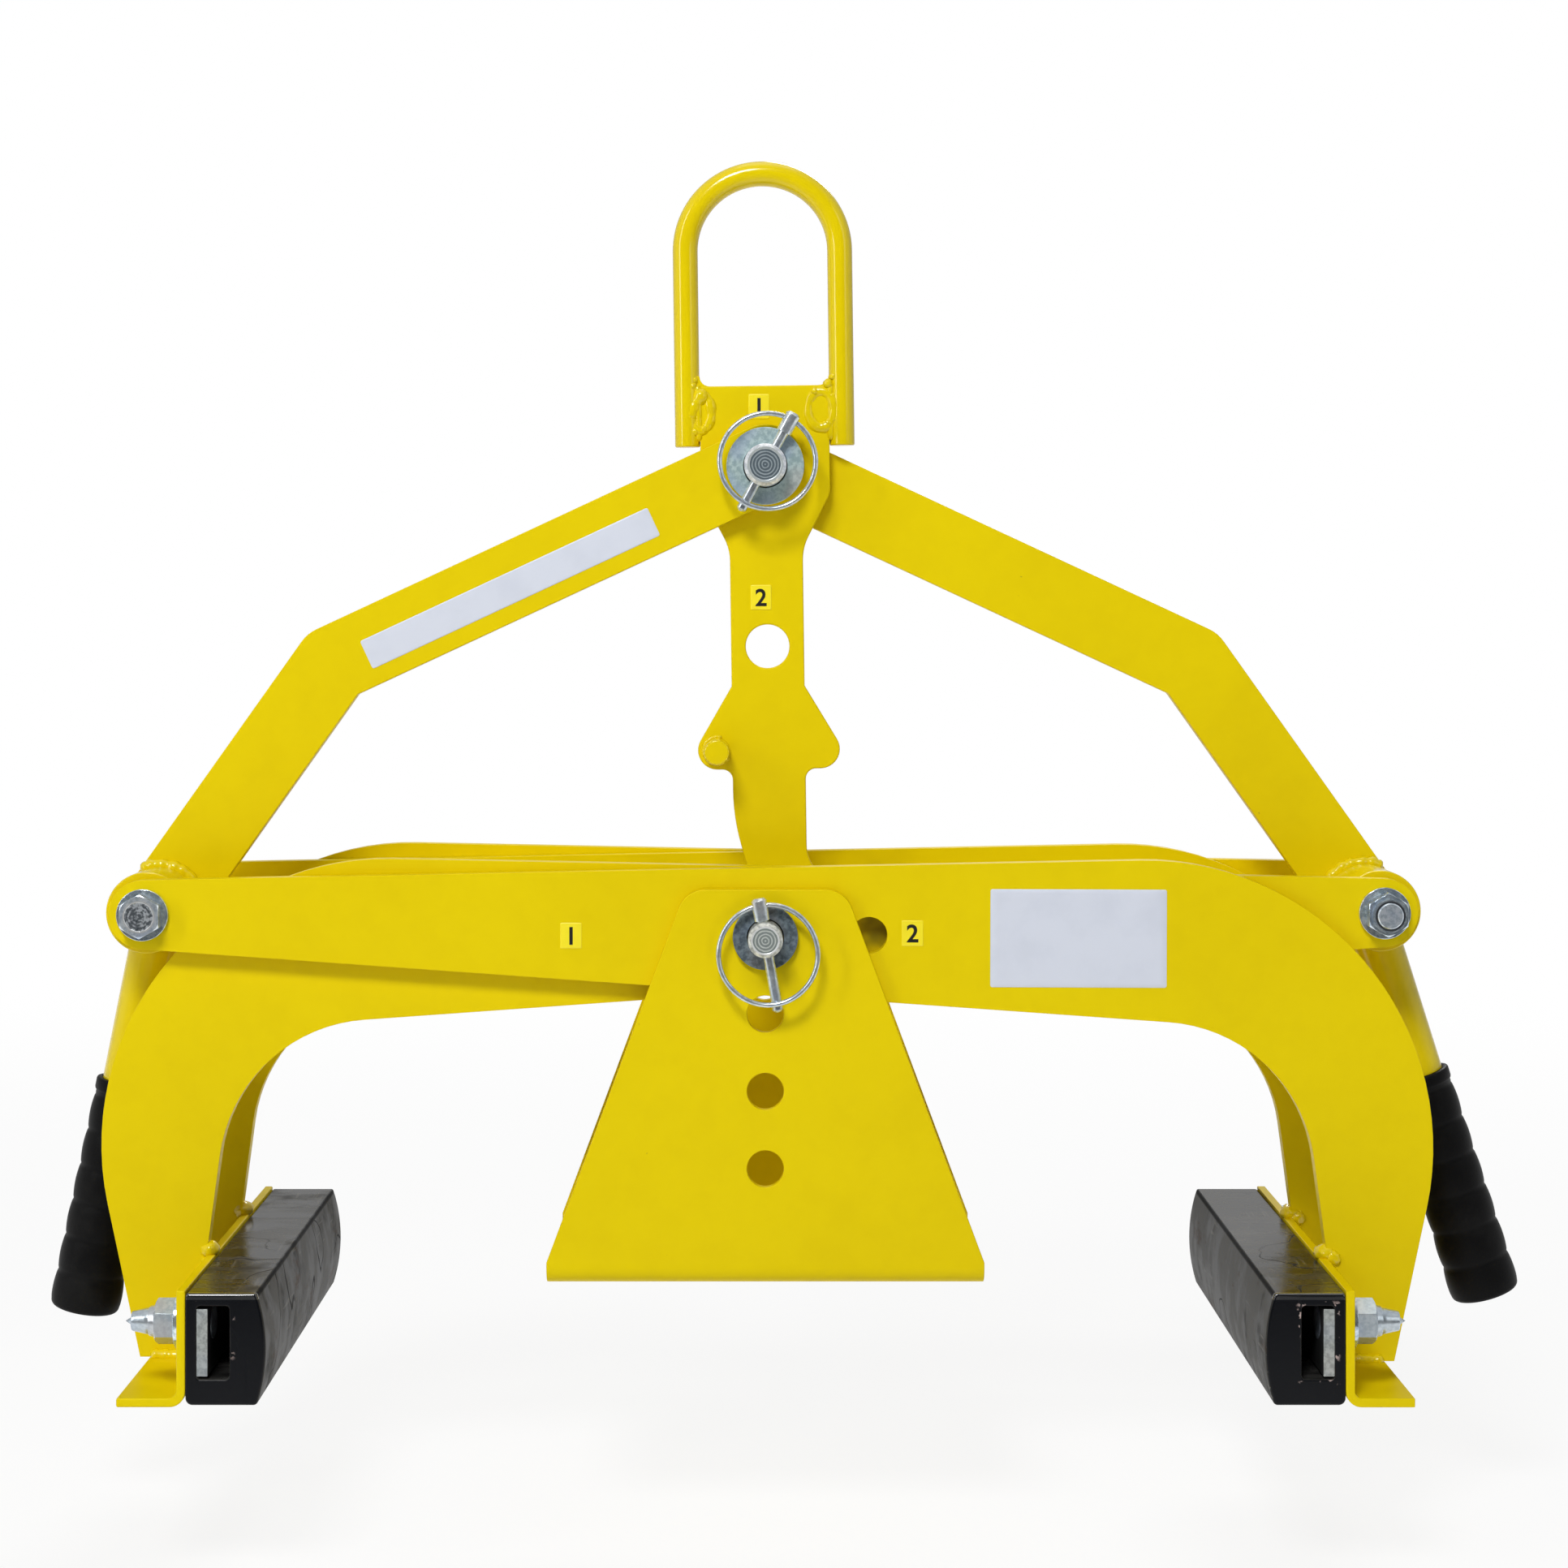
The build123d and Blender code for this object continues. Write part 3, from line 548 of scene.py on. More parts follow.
@dataclass(frozen=True)
class GripFinish:
    """Black moulded rubber, slightly glossy, with a few dusty scuffs."""

    name: str = "grip_rubber"
    black: Colour = (0.0045, 0.0045, 0.0048)
    dusty: Colour = (0.014, 0.0138, 0.0135)

    def material(self) -> bpy.types.Material:
        """Make the material.

        Returns:
            The material.
        """
        sheet, material = ShaderSheet.of_material(self.name)
        place = sheet.place()
        patches = sheet.grain(place, 30.0, 4.0, 0.6).step(0.52, 0.72)
        marks = sheet.grain(sheet.stretched(place, (700.0, 700.0, 60.0)), 1.0, 2.0).step(0.66, 0.74)
        base = sheet.blend(patches * 0.5, self.black, self.dusty)
        base = sheet.blend(marks * patches * 0.5, base, self.dusty)
        grains = sheet.grain(place, 1100.0, 2.0)
        sheet.surface(
            Base_Color=base,
            Roughness=patches * 0.14 + 0.46,
            Normal=sheet.relief(grains, 0.05),
            Specular_IOR_Level=0.09,
        )
        return material


@dataclass(frozen=True)
class PrintFinish:
    """Smooth printed film, plain in colour with a faint mottle."""

    name: str
    colour: Colour
    mottled: Colour
    roughness: float = 0.38

    def material(self) -> bpy.types.Material:
        """Make the material.

        Returns:
            The material.
        """
        sheet, material = ShaderSheet.of_material(self.name)
        place = sheet.place()
        mottle = sheet.grain(place, 60.0, 3.0)
        base = sheet.blend(mottle.step(0.40, 0.75), self.colour, self.mottled)
        weave = sheet.grain(place, 1500.0, 1.0)
        sheet.surface(
            Base_Color=base,
            Roughness=mottle * 0.1 + (self.roughness - 0.05),
            Normal=sheet.relief(weave, 0.008),
        )
        return material


@dataclass(frozen=True)
class FinishSet:
    """Every material of the tongs, made once."""

    paint: bpy.types.Material
    gloss_paint: bpy.types.Material
    stop_paint: bpy.types.Material
    inner_paint: bpy.types.Material
    bright_zinc: bpy.types.Material
    dull_zinc: bpy.types.Material
    top_washer_zinc: bpy.types.Material
    centre_washer_shaded_zinc: bpy.types.Material
    top_pin_zinc: bpy.types.Material
    centre_pin_zinc: bpy.types.Material
    bolt_zinc: bpy.types.Material
    fastener_zinc: bpy.types.Material
    nut_zinc: bpy.types.Material
    pad: bpy.types.Material
    grip: bpy.types.Material
    label: bpy.types.Material
    mark: bpy.types.Material
    ink: bpy.types.Material
    nylon: bpy.types.Material

    @classmethod
    def make(cls) -> FinishSet:
        """Make all the materials.

        Returns:
            The set of them.
        """
        finishes = (
            ZincFinish("bright_zinc", (0.78, 0.85, 0.89), (0.56, 0.63, 0.68), metallic=0.72, roughness=0.19),
            # The clamp bar: its sides get painted shade for the dark inside of the pad's slot.
            ZincFinish(
                "dull_zinc",
                (0.48, 0.51, 0.49),
                (0.30, 0.32, 0.31),
                tint=0.1,
                roughness=0.5,
                painted_side_shade=0.95,
            ),
            ZincFinish(
                "top_washer_zinc",
                (0.56, 0.70, 0.70),
                (0.36, 0.50, 0.52),
                tint=0.4,
                metallic=0.35,
                roughness=0.4,
            ),
            # A darker copy of the washer zinc: painted shade for the centre washer.
            ZincFinish(
                "centre_washer_shaded_zinc",
                (0.22, 0.28, 0.32),
                (0.10, 0.13, 0.16),
                tint=0.15,
                metallic=0.4,
                roughness=0.36,
            ),
            ZincFinish(
                "top_pin_zinc",
                disc=(0.13, 0.17, 0.20),
                ring=(0.52, 0.60, 0.64),
                rim=(0.66, 0.72, 0.72),
                tint=0.1,
                metallic=0.45,
                axis=(0.0, TOP_PIN_Z),
                speckle=0.4,
            ),
            ZincFinish(
                "centre_pin_zinc",
                (0.80, 0.82, 0.76),
                (0.40, 0.42, 0.40),
                disc=(0.26, 0.30, 0.29),
                ring=(0.78, 0.82, 0.78),
                tint=0.1,
                metallic=0.35,
                axis=(0.0, CENTRE_PIN_Z),
                disc_radius=5.8,
                speckle=0.4,
            ),
            ZincFinish(
                "bolt_zinc",
                (0.88, 0.95, 1.0),
                (0.52, 0.60, 0.67),
                disc=(0.15, 0.17, 0.19),
                ring=(0.90, 0.95, 1.0),
                ring_fade=(0.44, 0.60),
                tint=0.4,
                metallic=0.66,
                roughness=0.17,
                speckle=0.9,
                axis=(PIVOT_X, PIVOT_Z),
                paired=True,
                disc_radius=6.6,
                rim_highlight_width=0.7,
                dish_mm=0.3,
                beyond=63.0,
            ),
            ZincFinish(
                "fastener_zinc",
                (0.84, 0.94, 1.0),
                (0.48, 0.59, 0.68),
                tint=0.4,
                metallic=0.79,
                roughness=0.17,
            ),
            ZincFinish("nut_zinc", (0.60, 0.67, 0.72), (0.46, 0.53, 0.58), metallic=0.70, roughness=0.24),
        )
        return cls(
            paint=PaintFinish().material(),
            gloss_paint=PaintFinish("gloss_paint", roughness=0.15, specular=0.5, peel_mm=0.0015).material(),
            stop_paint=PaintFinish("stop_paint", wear_and_shade_axis=(0.0, 194.0)).material(),
            # Painted shade: a dark blotchy patch round the setting holes of the inner arm plates, darkening
            # the gap between the plates.
            inner_paint=PaintFinish(
                "inner_paint",
                wear_and_shade=(0.16, 0.12, 0.004),
                wear_and_shade_axis=(48.0, CENTRE_PIN_Z),
                wear_and_shade_radius=0.0,
                wear_and_shade_width=34.0,
                wear_and_shade_share=0.95,
                wear_and_shade_paired=True,
            ).material(),
            pad=PadFinish().material(),
            grip=GripFinish().material(),
            label=PrintFinish("label_film", (0.70, 0.74, 0.84), (0.66, 0.70, 0.80)).material(),
            mark=PrintFinish("mark_film", (0.99, 0.83, 0.012), (0.95, 0.79, 0.01)).material(),
            ink=PrintFinish("mark_ink", (0.012, 0.012, 0.012), (0.018, 0.018, 0.018)).material(),
            # The lock nuts' nylon rings: their near-black colour is painted shade of the gap round the bolt
            # end.
            nylon=PrintFinish("nut_nylon", (0.020, 0.024, 0.030), (0.03, 0.034, 0.04), 0.5).material(),
            **{finish.name: finish.material() for finish in finishes},
        )


def placed(name: str, data: bpy.types.ID) -> bpy.types.Object:
    """Put a mesh, curve, lamp or camera into the scene.

    Args:
        name: The new object's name.
        data: What it holds.

    Returns:
        The object.
    """
    thing = bpy.data.objects.new(name, data)
    bpy.context.scene.collection.objects.link(thing)
    return thing


def level_shading(piece: bpy.types.Object) -> None:
    """Shade the large flats of a piece evenly."""
    shading = piece.modifiers.new("level_shading", "WEIGHTED_NORMAL")
    shading.keep_sharp = False


class MeshDraft:
    """Points in millimetres and faces, gathered until they become one piece."""

    def __init__(self) -> None:
        """Start with nothing."""
        self.points: list[Vector] = []
        self.faces: list[tuple[int, ...]] = []

    def row(self, points: Iterable[Vector]) -> list[int]:
        """Add a row of points.

        Args:
            points: The points in order.

        Returns:
            Their numbers.
        """
        start = len(self.points)
        self.points.extend(points)
        return list(range(start, len(self.points)))

    def circle(self, middle: Vector, right: Vector, up: Vector, radius: float, count: int) -> list[int]:
        """Add a circle of points.

        Args:
            middle: The circle's centre.
            right: Direction at no turn.
            up: Direction at a quarter turn.
            radius: The circle's radius.
            count: How many points it has.

        Returns:
            Their numbers.
        """
        turns = (FULL_TURN * k / count for k in range(count))
        return self.row(middle + (right * cos(turn) + up * sin(turn)) * radius for turn in turns)

    def skin(self, first: Sequence[int], second: Sequence[int]) -> None:
        """Join two closed rows with quads.

        Args:
            first: Numbers of the points in one row.
            second: Those in the other, as many.
        """
        for here in range(len(first)):
            there = (here + 1) % len(first)
            self.faces.append((first[here], first[there], second[there], second[here]))

    def tube(self, rows: Sequence[Sequence[int]]) -> None:
        """Join each row to the next."""
        for first, second in zip(rows, rows[1:]):
            self.skin(first, second)

    def fan(self, row: Sequence[int], tip: Vector) -> None:
        """Close a row with triangles that meet at a point.

        Args:
            row: Numbers of the row's points.
            tip: The point where they meet.
        """
        centre = self.row([tip])[0]
        for here in range(len(row)):
            self.faces.append((row[here], row[(here + 1) % len(row)], centre))

    def piece(
        self,
        name: str,
        material: bpy.types.Material,
        body: str,
        slot: Optional[Slot] = None,
        turn: Optional[Matrix] = None,
    ) -> bpy.types.Object:
        """Make the piece and let it ride on a body.

        Args:
            name: The piece's name.
            material: Its material.
            body: The body that carries it.
            slot: The record's slot that its finish stands for; not used.
            turn: Turn about the centre pin's line that brings it to its side.

        Returns:
            The piece.
        """
        turned = [((turn @ point if turn else point) + PIN_LINE) * MM for point in self.points]
        mesh = bpy.data.meshes.new(name)
        mesh.from_pydata(turned, [], self.faces)
        shape = bmesh.new()
        shape.from_mesh(mesh)
        bmesh.ops.remove_doubles(shape, verts=shape.verts, dist=MERGE_M)
        bmesh.ops.recalc_face_normals(shape, faces=shape.faces)
        shape.to_mesh(mesh)
        shape.free()
        mesh.shade_smooth()
        mesh.materials.append(material)
        piece = placed(name, mesh)
        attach(piece, body)
        LOG.info("%s: %d points on %s", name, len(mesh.vertices), body)
        return piece


def soften(piece: bpy.types.Object, width: float, segments: int = 2) -> None:
    """Round the sharp edges of a piece by modifiers, and leave its mesh as it is.

    Args:
        piece: The piece or CAD node.
        width: How far the rounding reaches from each edge.
        segments: How many steps the rounding has.
    """
    seams = piece.modifiers.new("join_seams", "WELD")
    seams.merge_threshold = SEAM_M
    flats = piece.modifiers.new("merge_flats", "DECIMATE")
    flats.decimate_type = "DISSOLVE"
    flats.angle_limit = radians(FLAT_DEG)
    edges = piece.modifiers.new("round_edges", "BEVEL")
    edges.width = width * MM
    edges.segments = segments
    edges.limit_method = "ANGLE"
    edges.angle_limit = radians(SHARP_DEG)
    level_shading(piece)


def wobble(point: Vector, scale: float, seed: float) -> float:
    """Smooth noise from about -1 to 1, the same at each run."""
    return noise.noise(point * scale + Vector((seed, 2.0 * seed, 3.0 * seed)))


@dataclass
class WeldBead:
    """A painted weld bead: a rippled cord of metal along a seam, with rounded ends or closed in a loop."""

    path: Sequence[Vector]
    radius: float
    seed: float
    closed: bool = False
    pitch: float = 1.9
    ripple: float = 0.16
    lump: float = 0.16
    lean: float = 0.35
    tip: float = 0.05
    sides: int = 14
    steps_per_ripple: float = 5.0

    def stations(self) -> tuple[list[Vector], list[float]]:
        """Even stations along the path.

        Returns:
            The stations, and how far along the path each one is.
        """
        corners = list(self.path) + ([self.path[0]] if self.closed else [])
        lengths = [(b - a).length for a, b in zip(corners, corners[1:])]
        total = sum(lengths)
        count = max(8, ceil(total / (self.pitch / self.steps_per_ripple)))
        places, alongs = [], []
        run, passed = 0, 0.0
        for step in range(count if self.closed else count + 1):
            along = total * step / count
            while run < len(lengths) - 1 and along > passed + lengths[run]:
                passed += lengths[run]
                run += 1
            share = (along - passed) / lengths[run]
            places.append(corners[run].lerp(corners[run + 1], share))
            alongs.append(along)
        return places, alongs

    def draft(self, into: MeshDraft) -> None:
        """Add the bead to a draft.

        Args:
            into: The draft that takes the bead's points and faces.
        """
        places, alongs = self.stations()
        last = len(places) - 1
        side = ASKEW
        rows = []
        for index, (place, along) in enumerate(zip(places, alongs)):
            before = places[index - 1] if index or self.closed else place
            after = places[(index + 1) % len(places)] if index < last or self.closed else place
            ahead = (after - before).normalized()
            side = (side - ahead * side.dot(ahead)).normalized()
            across = ahead.cross(side)
            radius = self.radius * self.swell(place, along)
            if not self.closed:
                end = min(along, alongs[-1] - along) / self.radius
                radius *= sqrt(max(self.tip, 1.0 - max(0.0, 1.0 - end) ** 2))
            lean = self.lean * self.radius * wobble(place, 0.11, self.seed + 7.0)
            middle = place + side * lean * 0.5 + across * lean * 0.5
            rows.append(into.circle(middle, side, across, radius, self.sides))
        into.tube(rows)
        if self.closed:
            self.close_loop(into, rows[-1], rows[0])
        else:
            into.fan(rows[0], places[0])
            into.fan(rows[-1], places[-1])

    def close_loop(self, into: MeshDraft, end: Sequence[int], start: Sequence[int]) -> None:
        """Join the last row of a loop to the first, from the points that lie nearest.

        Args:
            into: The draft that holds the rows.
            end: Numbers of the last row's points.
            start: Numbers of the first row's points.
        """
        first = into.points[end[0]]
        shift = min(range(len(start)), key=lambda k: (into.points[start[k]] - first).length)
        into.skin(end, [start[(k + shift) % len(start)] for k in range(len(start))])

    def swell(self, place: Vector, along: float) -> float:
        """Find how thick the bead is at a station.

        Args:
            place: The station.
            along: How far along the path it is.

        Returns:
            The thickness as a share of the radius.
        """
        wave = abs(sin(pi * along / self.pitch + wobble(place, 0.3, self.seed)))
        lump = self.lump * wobble(place, 0.25, self.seed + 3.0)
        return 1.0 - self.ripple + 2.0 * self.ripple * wave + lump


@dataclass
class WeldBlob:
    """A painted lump where a weld starts or ends."""

    middle: Vector
    radii: Vector
    seed: float
    dent: float = 0.20
    pit: float = 0.07
    rings: int = 14
    sides: int = 22

    def draft(self, into: MeshDraft) -> None:
        """Add the lump to a draft.

        Args:
            into: The draft that takes the lump's points and faces.
        """
        rows = []
        for ring in range(1, self.rings):
            tip = pi * ring / self.rings
            rows.append(into.row(self.point(tip, FULL_TURN * k / self.sides) for k in range(self.sides)))
        into.tube(rows)
        into.fan(rows[0], self.point(0.0, 0.0))
        into.fan(rows[-1], self.point(pi, 0.0))

    def point(self, tip: float, turn: float) -> Vector:
        """Find a point of the lump.

        Args:
            tip: Its angle from the top in radians.
            turn: Its turn about the upright line.

        Returns:
            The point.
        """
        ball = Vector((sin(tip) * cos(turn), sin(tip) * sin(turn), cos(tip)))
        broad = self.dent * wobble(ball, 2.1, self.seed)
        narrow = self.pit * wobble(ball, 5.3, self.seed + 4.0)
        scale = 1.0 + broad + narrow
        return self.middle + Vector(b * r * scale for b, r in zip(ball, self.radii))


Weld = Union[WeldBead, WeldBlob]


def make_welds(
    name: str,
    welds: Sequence[Weld],
    finishes: FinishSet,
    body: str,
    turn: Optional[Matrix] = None,
) -> bpy.types.Object:
    """Make one piece from several welds.

    Args:
        name: The piece's name.
        welds: The beads and lumps.
        finishes: The materials.
        body: The body that carries them.
        turn: Turn that brings them to their side.

    Returns:
        The piece.
    """
    draft = MeshDraft()
    for weld in welds:
        weld.draft(draft)
    return draft.piece(name, finishes.gloss_paint, body, Slot.PAINT, turn)


def arc(middle: Vector, right: Vector, up: Vector, radius: float, start: float, end: float) -> list[Vector]:
    """Points on an arc.

    Args:
        middle: The arc's centre.
        right: Direction at no turn.
        up: Direction at a quarter turn.
        radius: The arc's radius.
        start: Turn at which it starts, in radians.
        end: Turn at which it ends.

    Returns:
        The points, about five degrees apart.
    """
    count = max(4, ceil(abs(end - start) / radians(ARC_STEP_DEG)))
    turns = [start + (end - start) * k / count for k in range(count + 1)]
    return [middle + (right * cos(t) + up * sin(t)) * radius for t in turns]


def rounded(corners: Sequence[Flat], radii: Sequence[float]) -> list[Flat]:
    """Round the corners of a flat outline.

    Args:
        corners: The outline's corners in order.
        radii: The rounding at each corner, where 0 leaves it sharp.

    Returns:
        The rounded outline's points.
    """
    points: list[Flat] = []
    for index, (corner, radius) in enumerate(zip(corners, radii)):
        here = Vector(corner)
        if radius <= 0.0:
            points.append(tuple(here))
            continue
        back = (Vector(corners[index - 1]) - here).normalized()
        on = (Vector(corners[(index + 1) % len(corners)]) - here).normalized()
        half = acos(max(-1.0, min(1.0, back.dot(on)))) / 2.0
        middle = here + (back + on).normalized() * (radius / sin(half))
        first = here + back * (radius / sin(half) * cos(half)) - middle
        last = here + on * (radius / sin(half) * cos(half)) - middle
        for step in range(CORNER_STEPS + 1):
            spoke = first.slerp(last, step / CORNER_STEPS) if first.angle(last) > 1e-4 else first
            points.append(tuple(middle + spoke.normalized() * radius))
    return points


def reach(outline: Sequence[Flat], middle: Flat, turn: float) -> Flat:
    """Find where a ray from a point inside an outline leaves it.

    Args:
        outline: The outline's points in order.
        middle: The point inside.
        turn: Direction of the ray in radians.

    Returns:
        The point on the outline.
    """
    start, ray = Vector(middle), Vector((cos(turn), sin(turn)))
    best: Optional[Vector] = None
    for index, corner in enumerate(outline):
        here = Vector(corner)
        edge = Vector(outline[(index + 1) % len(outline)]) - here
        cross = ray.x * edge.y - ray.y * edge.x
        if abs(cross) < 1e-12:
            continue
        gap = here - start
        along = (gap.x * edge.y - gap.y * edge.x) / cross
        share = (gap.x * ray.y - gap.y * ray.x) / cross
        if along > 0.0 and -1e-9 <= share <= 1.0 + 1e-9:
            found = start + ray * along
            if best is None or along > (best - start).length:
                best = found
    return tuple(best if best is not None else start)


@dataclass
class JawPad:
    """Rubber jaw pad: a crowned block with a slot along its length, worn a little at its edges."""

    side: Side
    face_x: float = 256.0
    inner_x: float = 220.5
    edge_x: float = PAD_EDGE_X
    low_z: float = 0.8
    top_z: float = PAD_TOP_Z
    half_length: float = PAD_HALF_LENGTH
    slot_x: Flat = PAD_SLOT_X
    slot_z: Flat = PAD_SLOT_Z
    slot_round: float = 1.6
    slot_flare: float = 0.9
    edge_round: float = 1.3
    low_edge_round: float = 2.0
    low_back_round: float = 3.0
    end_round: float = 1.5
    crown_steps: int = 22
    end_steps: int = 6
    long_steps: int = 36

    def outline(self) -> list[Flat]:
        """Draw the outside of the cross-section.

        Returns:
            Its points in X and Z.
        """
        half = (self.top_z - self.low_z) / 2.0
        sag = self.edge_x - self.inner_x
        radius = (half * half + sag * sag) / (2.0 * sag)
        middle_x = self.inner_x + radius
        middle_z = (self.top_z + self.low_z) / 2.0
        spread = atan2(half, radius - sag)
        crown = [
            (middle_x - radius * cos(turn), middle_z + radius * sin(turn))
            for turn in (spread * (2.0 * k / self.crown_steps - 1.0) for k in range(self.crown_steps + 1))
        ]
        corners = crown + [(self.face_x, self.top_z), (self.face_x, self.low_z)]
        radii = [0.0] * len(corners)
        radii[0] = self.low_edge_round
        radii[self.crown_steps] = self.edge_round
        radii[-2] = self.edge_round
        radii[-1] = self.low_back_round
        return rounded(corners, radii)

    def slot(self) -> list[Flat]:
        """Outline of the slot, in X and Z."""
        (left, right), (low, high) = self.slot_x, self.slot_z
        return rounded([(left, low), (right, low), (right, high), (left, high)], [self.slot_round] * 4)

    def build(self, finishes: FinishSet) -> None:
        """Make the pad in place of its CAD solid.

        Args:
            finishes: The materials.
        """
        outside, inside = self.outline(), self.slot()
        middle = (sum(self.slot_x) / 2.0, sum(self.slot_z) / 2.0)
        turns = sorted({round(atan2(z - middle[1], x - middle[0]), 6) for x, z in outside + inside})
        outer = [reach(outside, middle, turn) for turn in turns]
        inner = [reach(inside, middle, turn) for turn in turns]
        draft = MeshDraft()
        outer_rows, inner_rows = [], []
        for y, inset, flare in self.stations():
            outer_rows.append(draft.row(self.shifted(outer, middle, y, -inset)))
            inner_rows.append(draft.row(self.shifted(inner, middle, y, flare)))
        draft.tube(outer_rows)
        draft.tube(inner_rows)
        draft.skin(outer_rows[0], inner_rows[0])
        draft.skin(outer_rows[-1], inner_rows[-1])
        name = f"{self.side.value}_jaw_pad"
        pad = draft.piece(f"{name}_rubber", finishes.pad, self.side.arm, Slot.PAD, self.side.turn)
        level_shading(pad)
        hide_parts(name)

    def stations(self) -> list[tuple[float, float, float]]:
        """Lay out the cross-sections from the front to the back.

        Returns:
            The depth, the inset of the outside and the flare of the slot at each one.
        """
        front = []
        for step in range(self.end_steps, -1, -1):
            turn = pi / 2 * step / self.end_steps
            inset = 1.0 - cos(turn)
            depth = -self.half_length + self.end_round * (1.0 - sin(turn))
            front.append((depth, self.end_round * inset, self.slot_flare * inset))
        inner = self.half_length - self.end_round
        steps = range(1, self.long_steps)
        plain = [(-inner + 2.0 * inner * step / self.long_steps, 0.0, 0.0) for step in steps]
        back = [(-y, inset, flare) for y, inset, flare in reversed(front)]
        return front + plain + back

    def shifted(self, outline: Sequence[Flat], middle: Flat, y: float, out: float) -> list[Vector]:
        """Move an outline away from the slot's middle and set it at a depth.

        Args:
            outline: The outline.
            middle: The slot's middle.
            y: The depth.
            out: How far it moves out, which may be negative.

        Returns:
            The points in space.
        """
        points = []
        for x, z in outline:
            right, up = x - middle[0], z - middle[1]
            gap = hypot(right, up)
            scale = (gap + out) / gap
            points.append(Vector((middle[0] + right * scale, y, middle[1] + up * scale)))
        return points


@dataclass
class TongArm:
    """One tong arm: its jaw pad, and the welds that hold its plates to the jaw angle."""

    side: Side
    finishes: FinishSet
    plates: tuple[Flat, Flat] = ((-54.3, -46.3), (37.9, 45.9))
    jaw_x: float = 260.0
    leg_top: float = 51.5
    lip_top: float = 4.0
    toe_x: float = 286.0

    def build(self) -> None:
        """Make the arm's pieces."""
        JawPad(self.side).build(self.finishes)
        welds: list[Weld] = []
        for index, (front, back) in enumerate(self.plates):
            welds += self.plate_welds(front, back, 10.0 * index + (0.0 if self.side is Side.RIGHT else 5.0))
        make_welds(f"{self.side.value}_jaw_welds", welds, self.finishes, self.side.arm, self.side.turn)

    def plate_welds(self, front: float, back: float, seed: float) -> list[Weld]:
        """Welds of one plate on the jaw angle.

        Args:
            front: Depth of the plate's front face.
            back: Depth of its back face.
            seed: Seed of their shapes.

        Returns:
            The welds.
        """
        middle = (front + back) / 2.0
        lumps = (
            (Vector((self.jaw_x - 0.4, middle, self.leg_top + 1.9)), Vector((5.0, 6.0, 4.1))),
            (Vector((self.jaw_x + 2.6, front + 0.8, self.leg_top + 0.2)), Vector((3.9, 3.2, 3.9))),
            (Vector((self.jaw_x + 1.8, front + 0.4, self.leg_top - 6.2)), Vector((2.9, 2.3, 3.6))),
        )
        seams: list[Weld] = [
            WeldBlob(place, radii, seed + index) for index, (place, radii) in enumerate(lumps)
        ]
        heights = (11.0, 24.0, 37.0, self.leg_top - 1.0)
        lengths = (267.0, 274.0, 281.0, self.toe_x)
        for depth, offset in ((front, -0.4), (back, 0.4)):
            upright = [Vector((self.jaw_x + 0.6, depth + offset, z)) for z in heights]
            seams.append(WeldBead(upright, radius=1.9, seed=seed + 2.0 + depth, pitch=4.0, ripple=0.1))
            flat = [Vector((x, depth + offset * 2.0, self.lip_top + 0.7)) for x in lengths]
            seams.append(WeldBead(flat, radius=2.9, seed=seed + 3.0 + depth, pitch=5.0, ripple=0.11))
        return seams


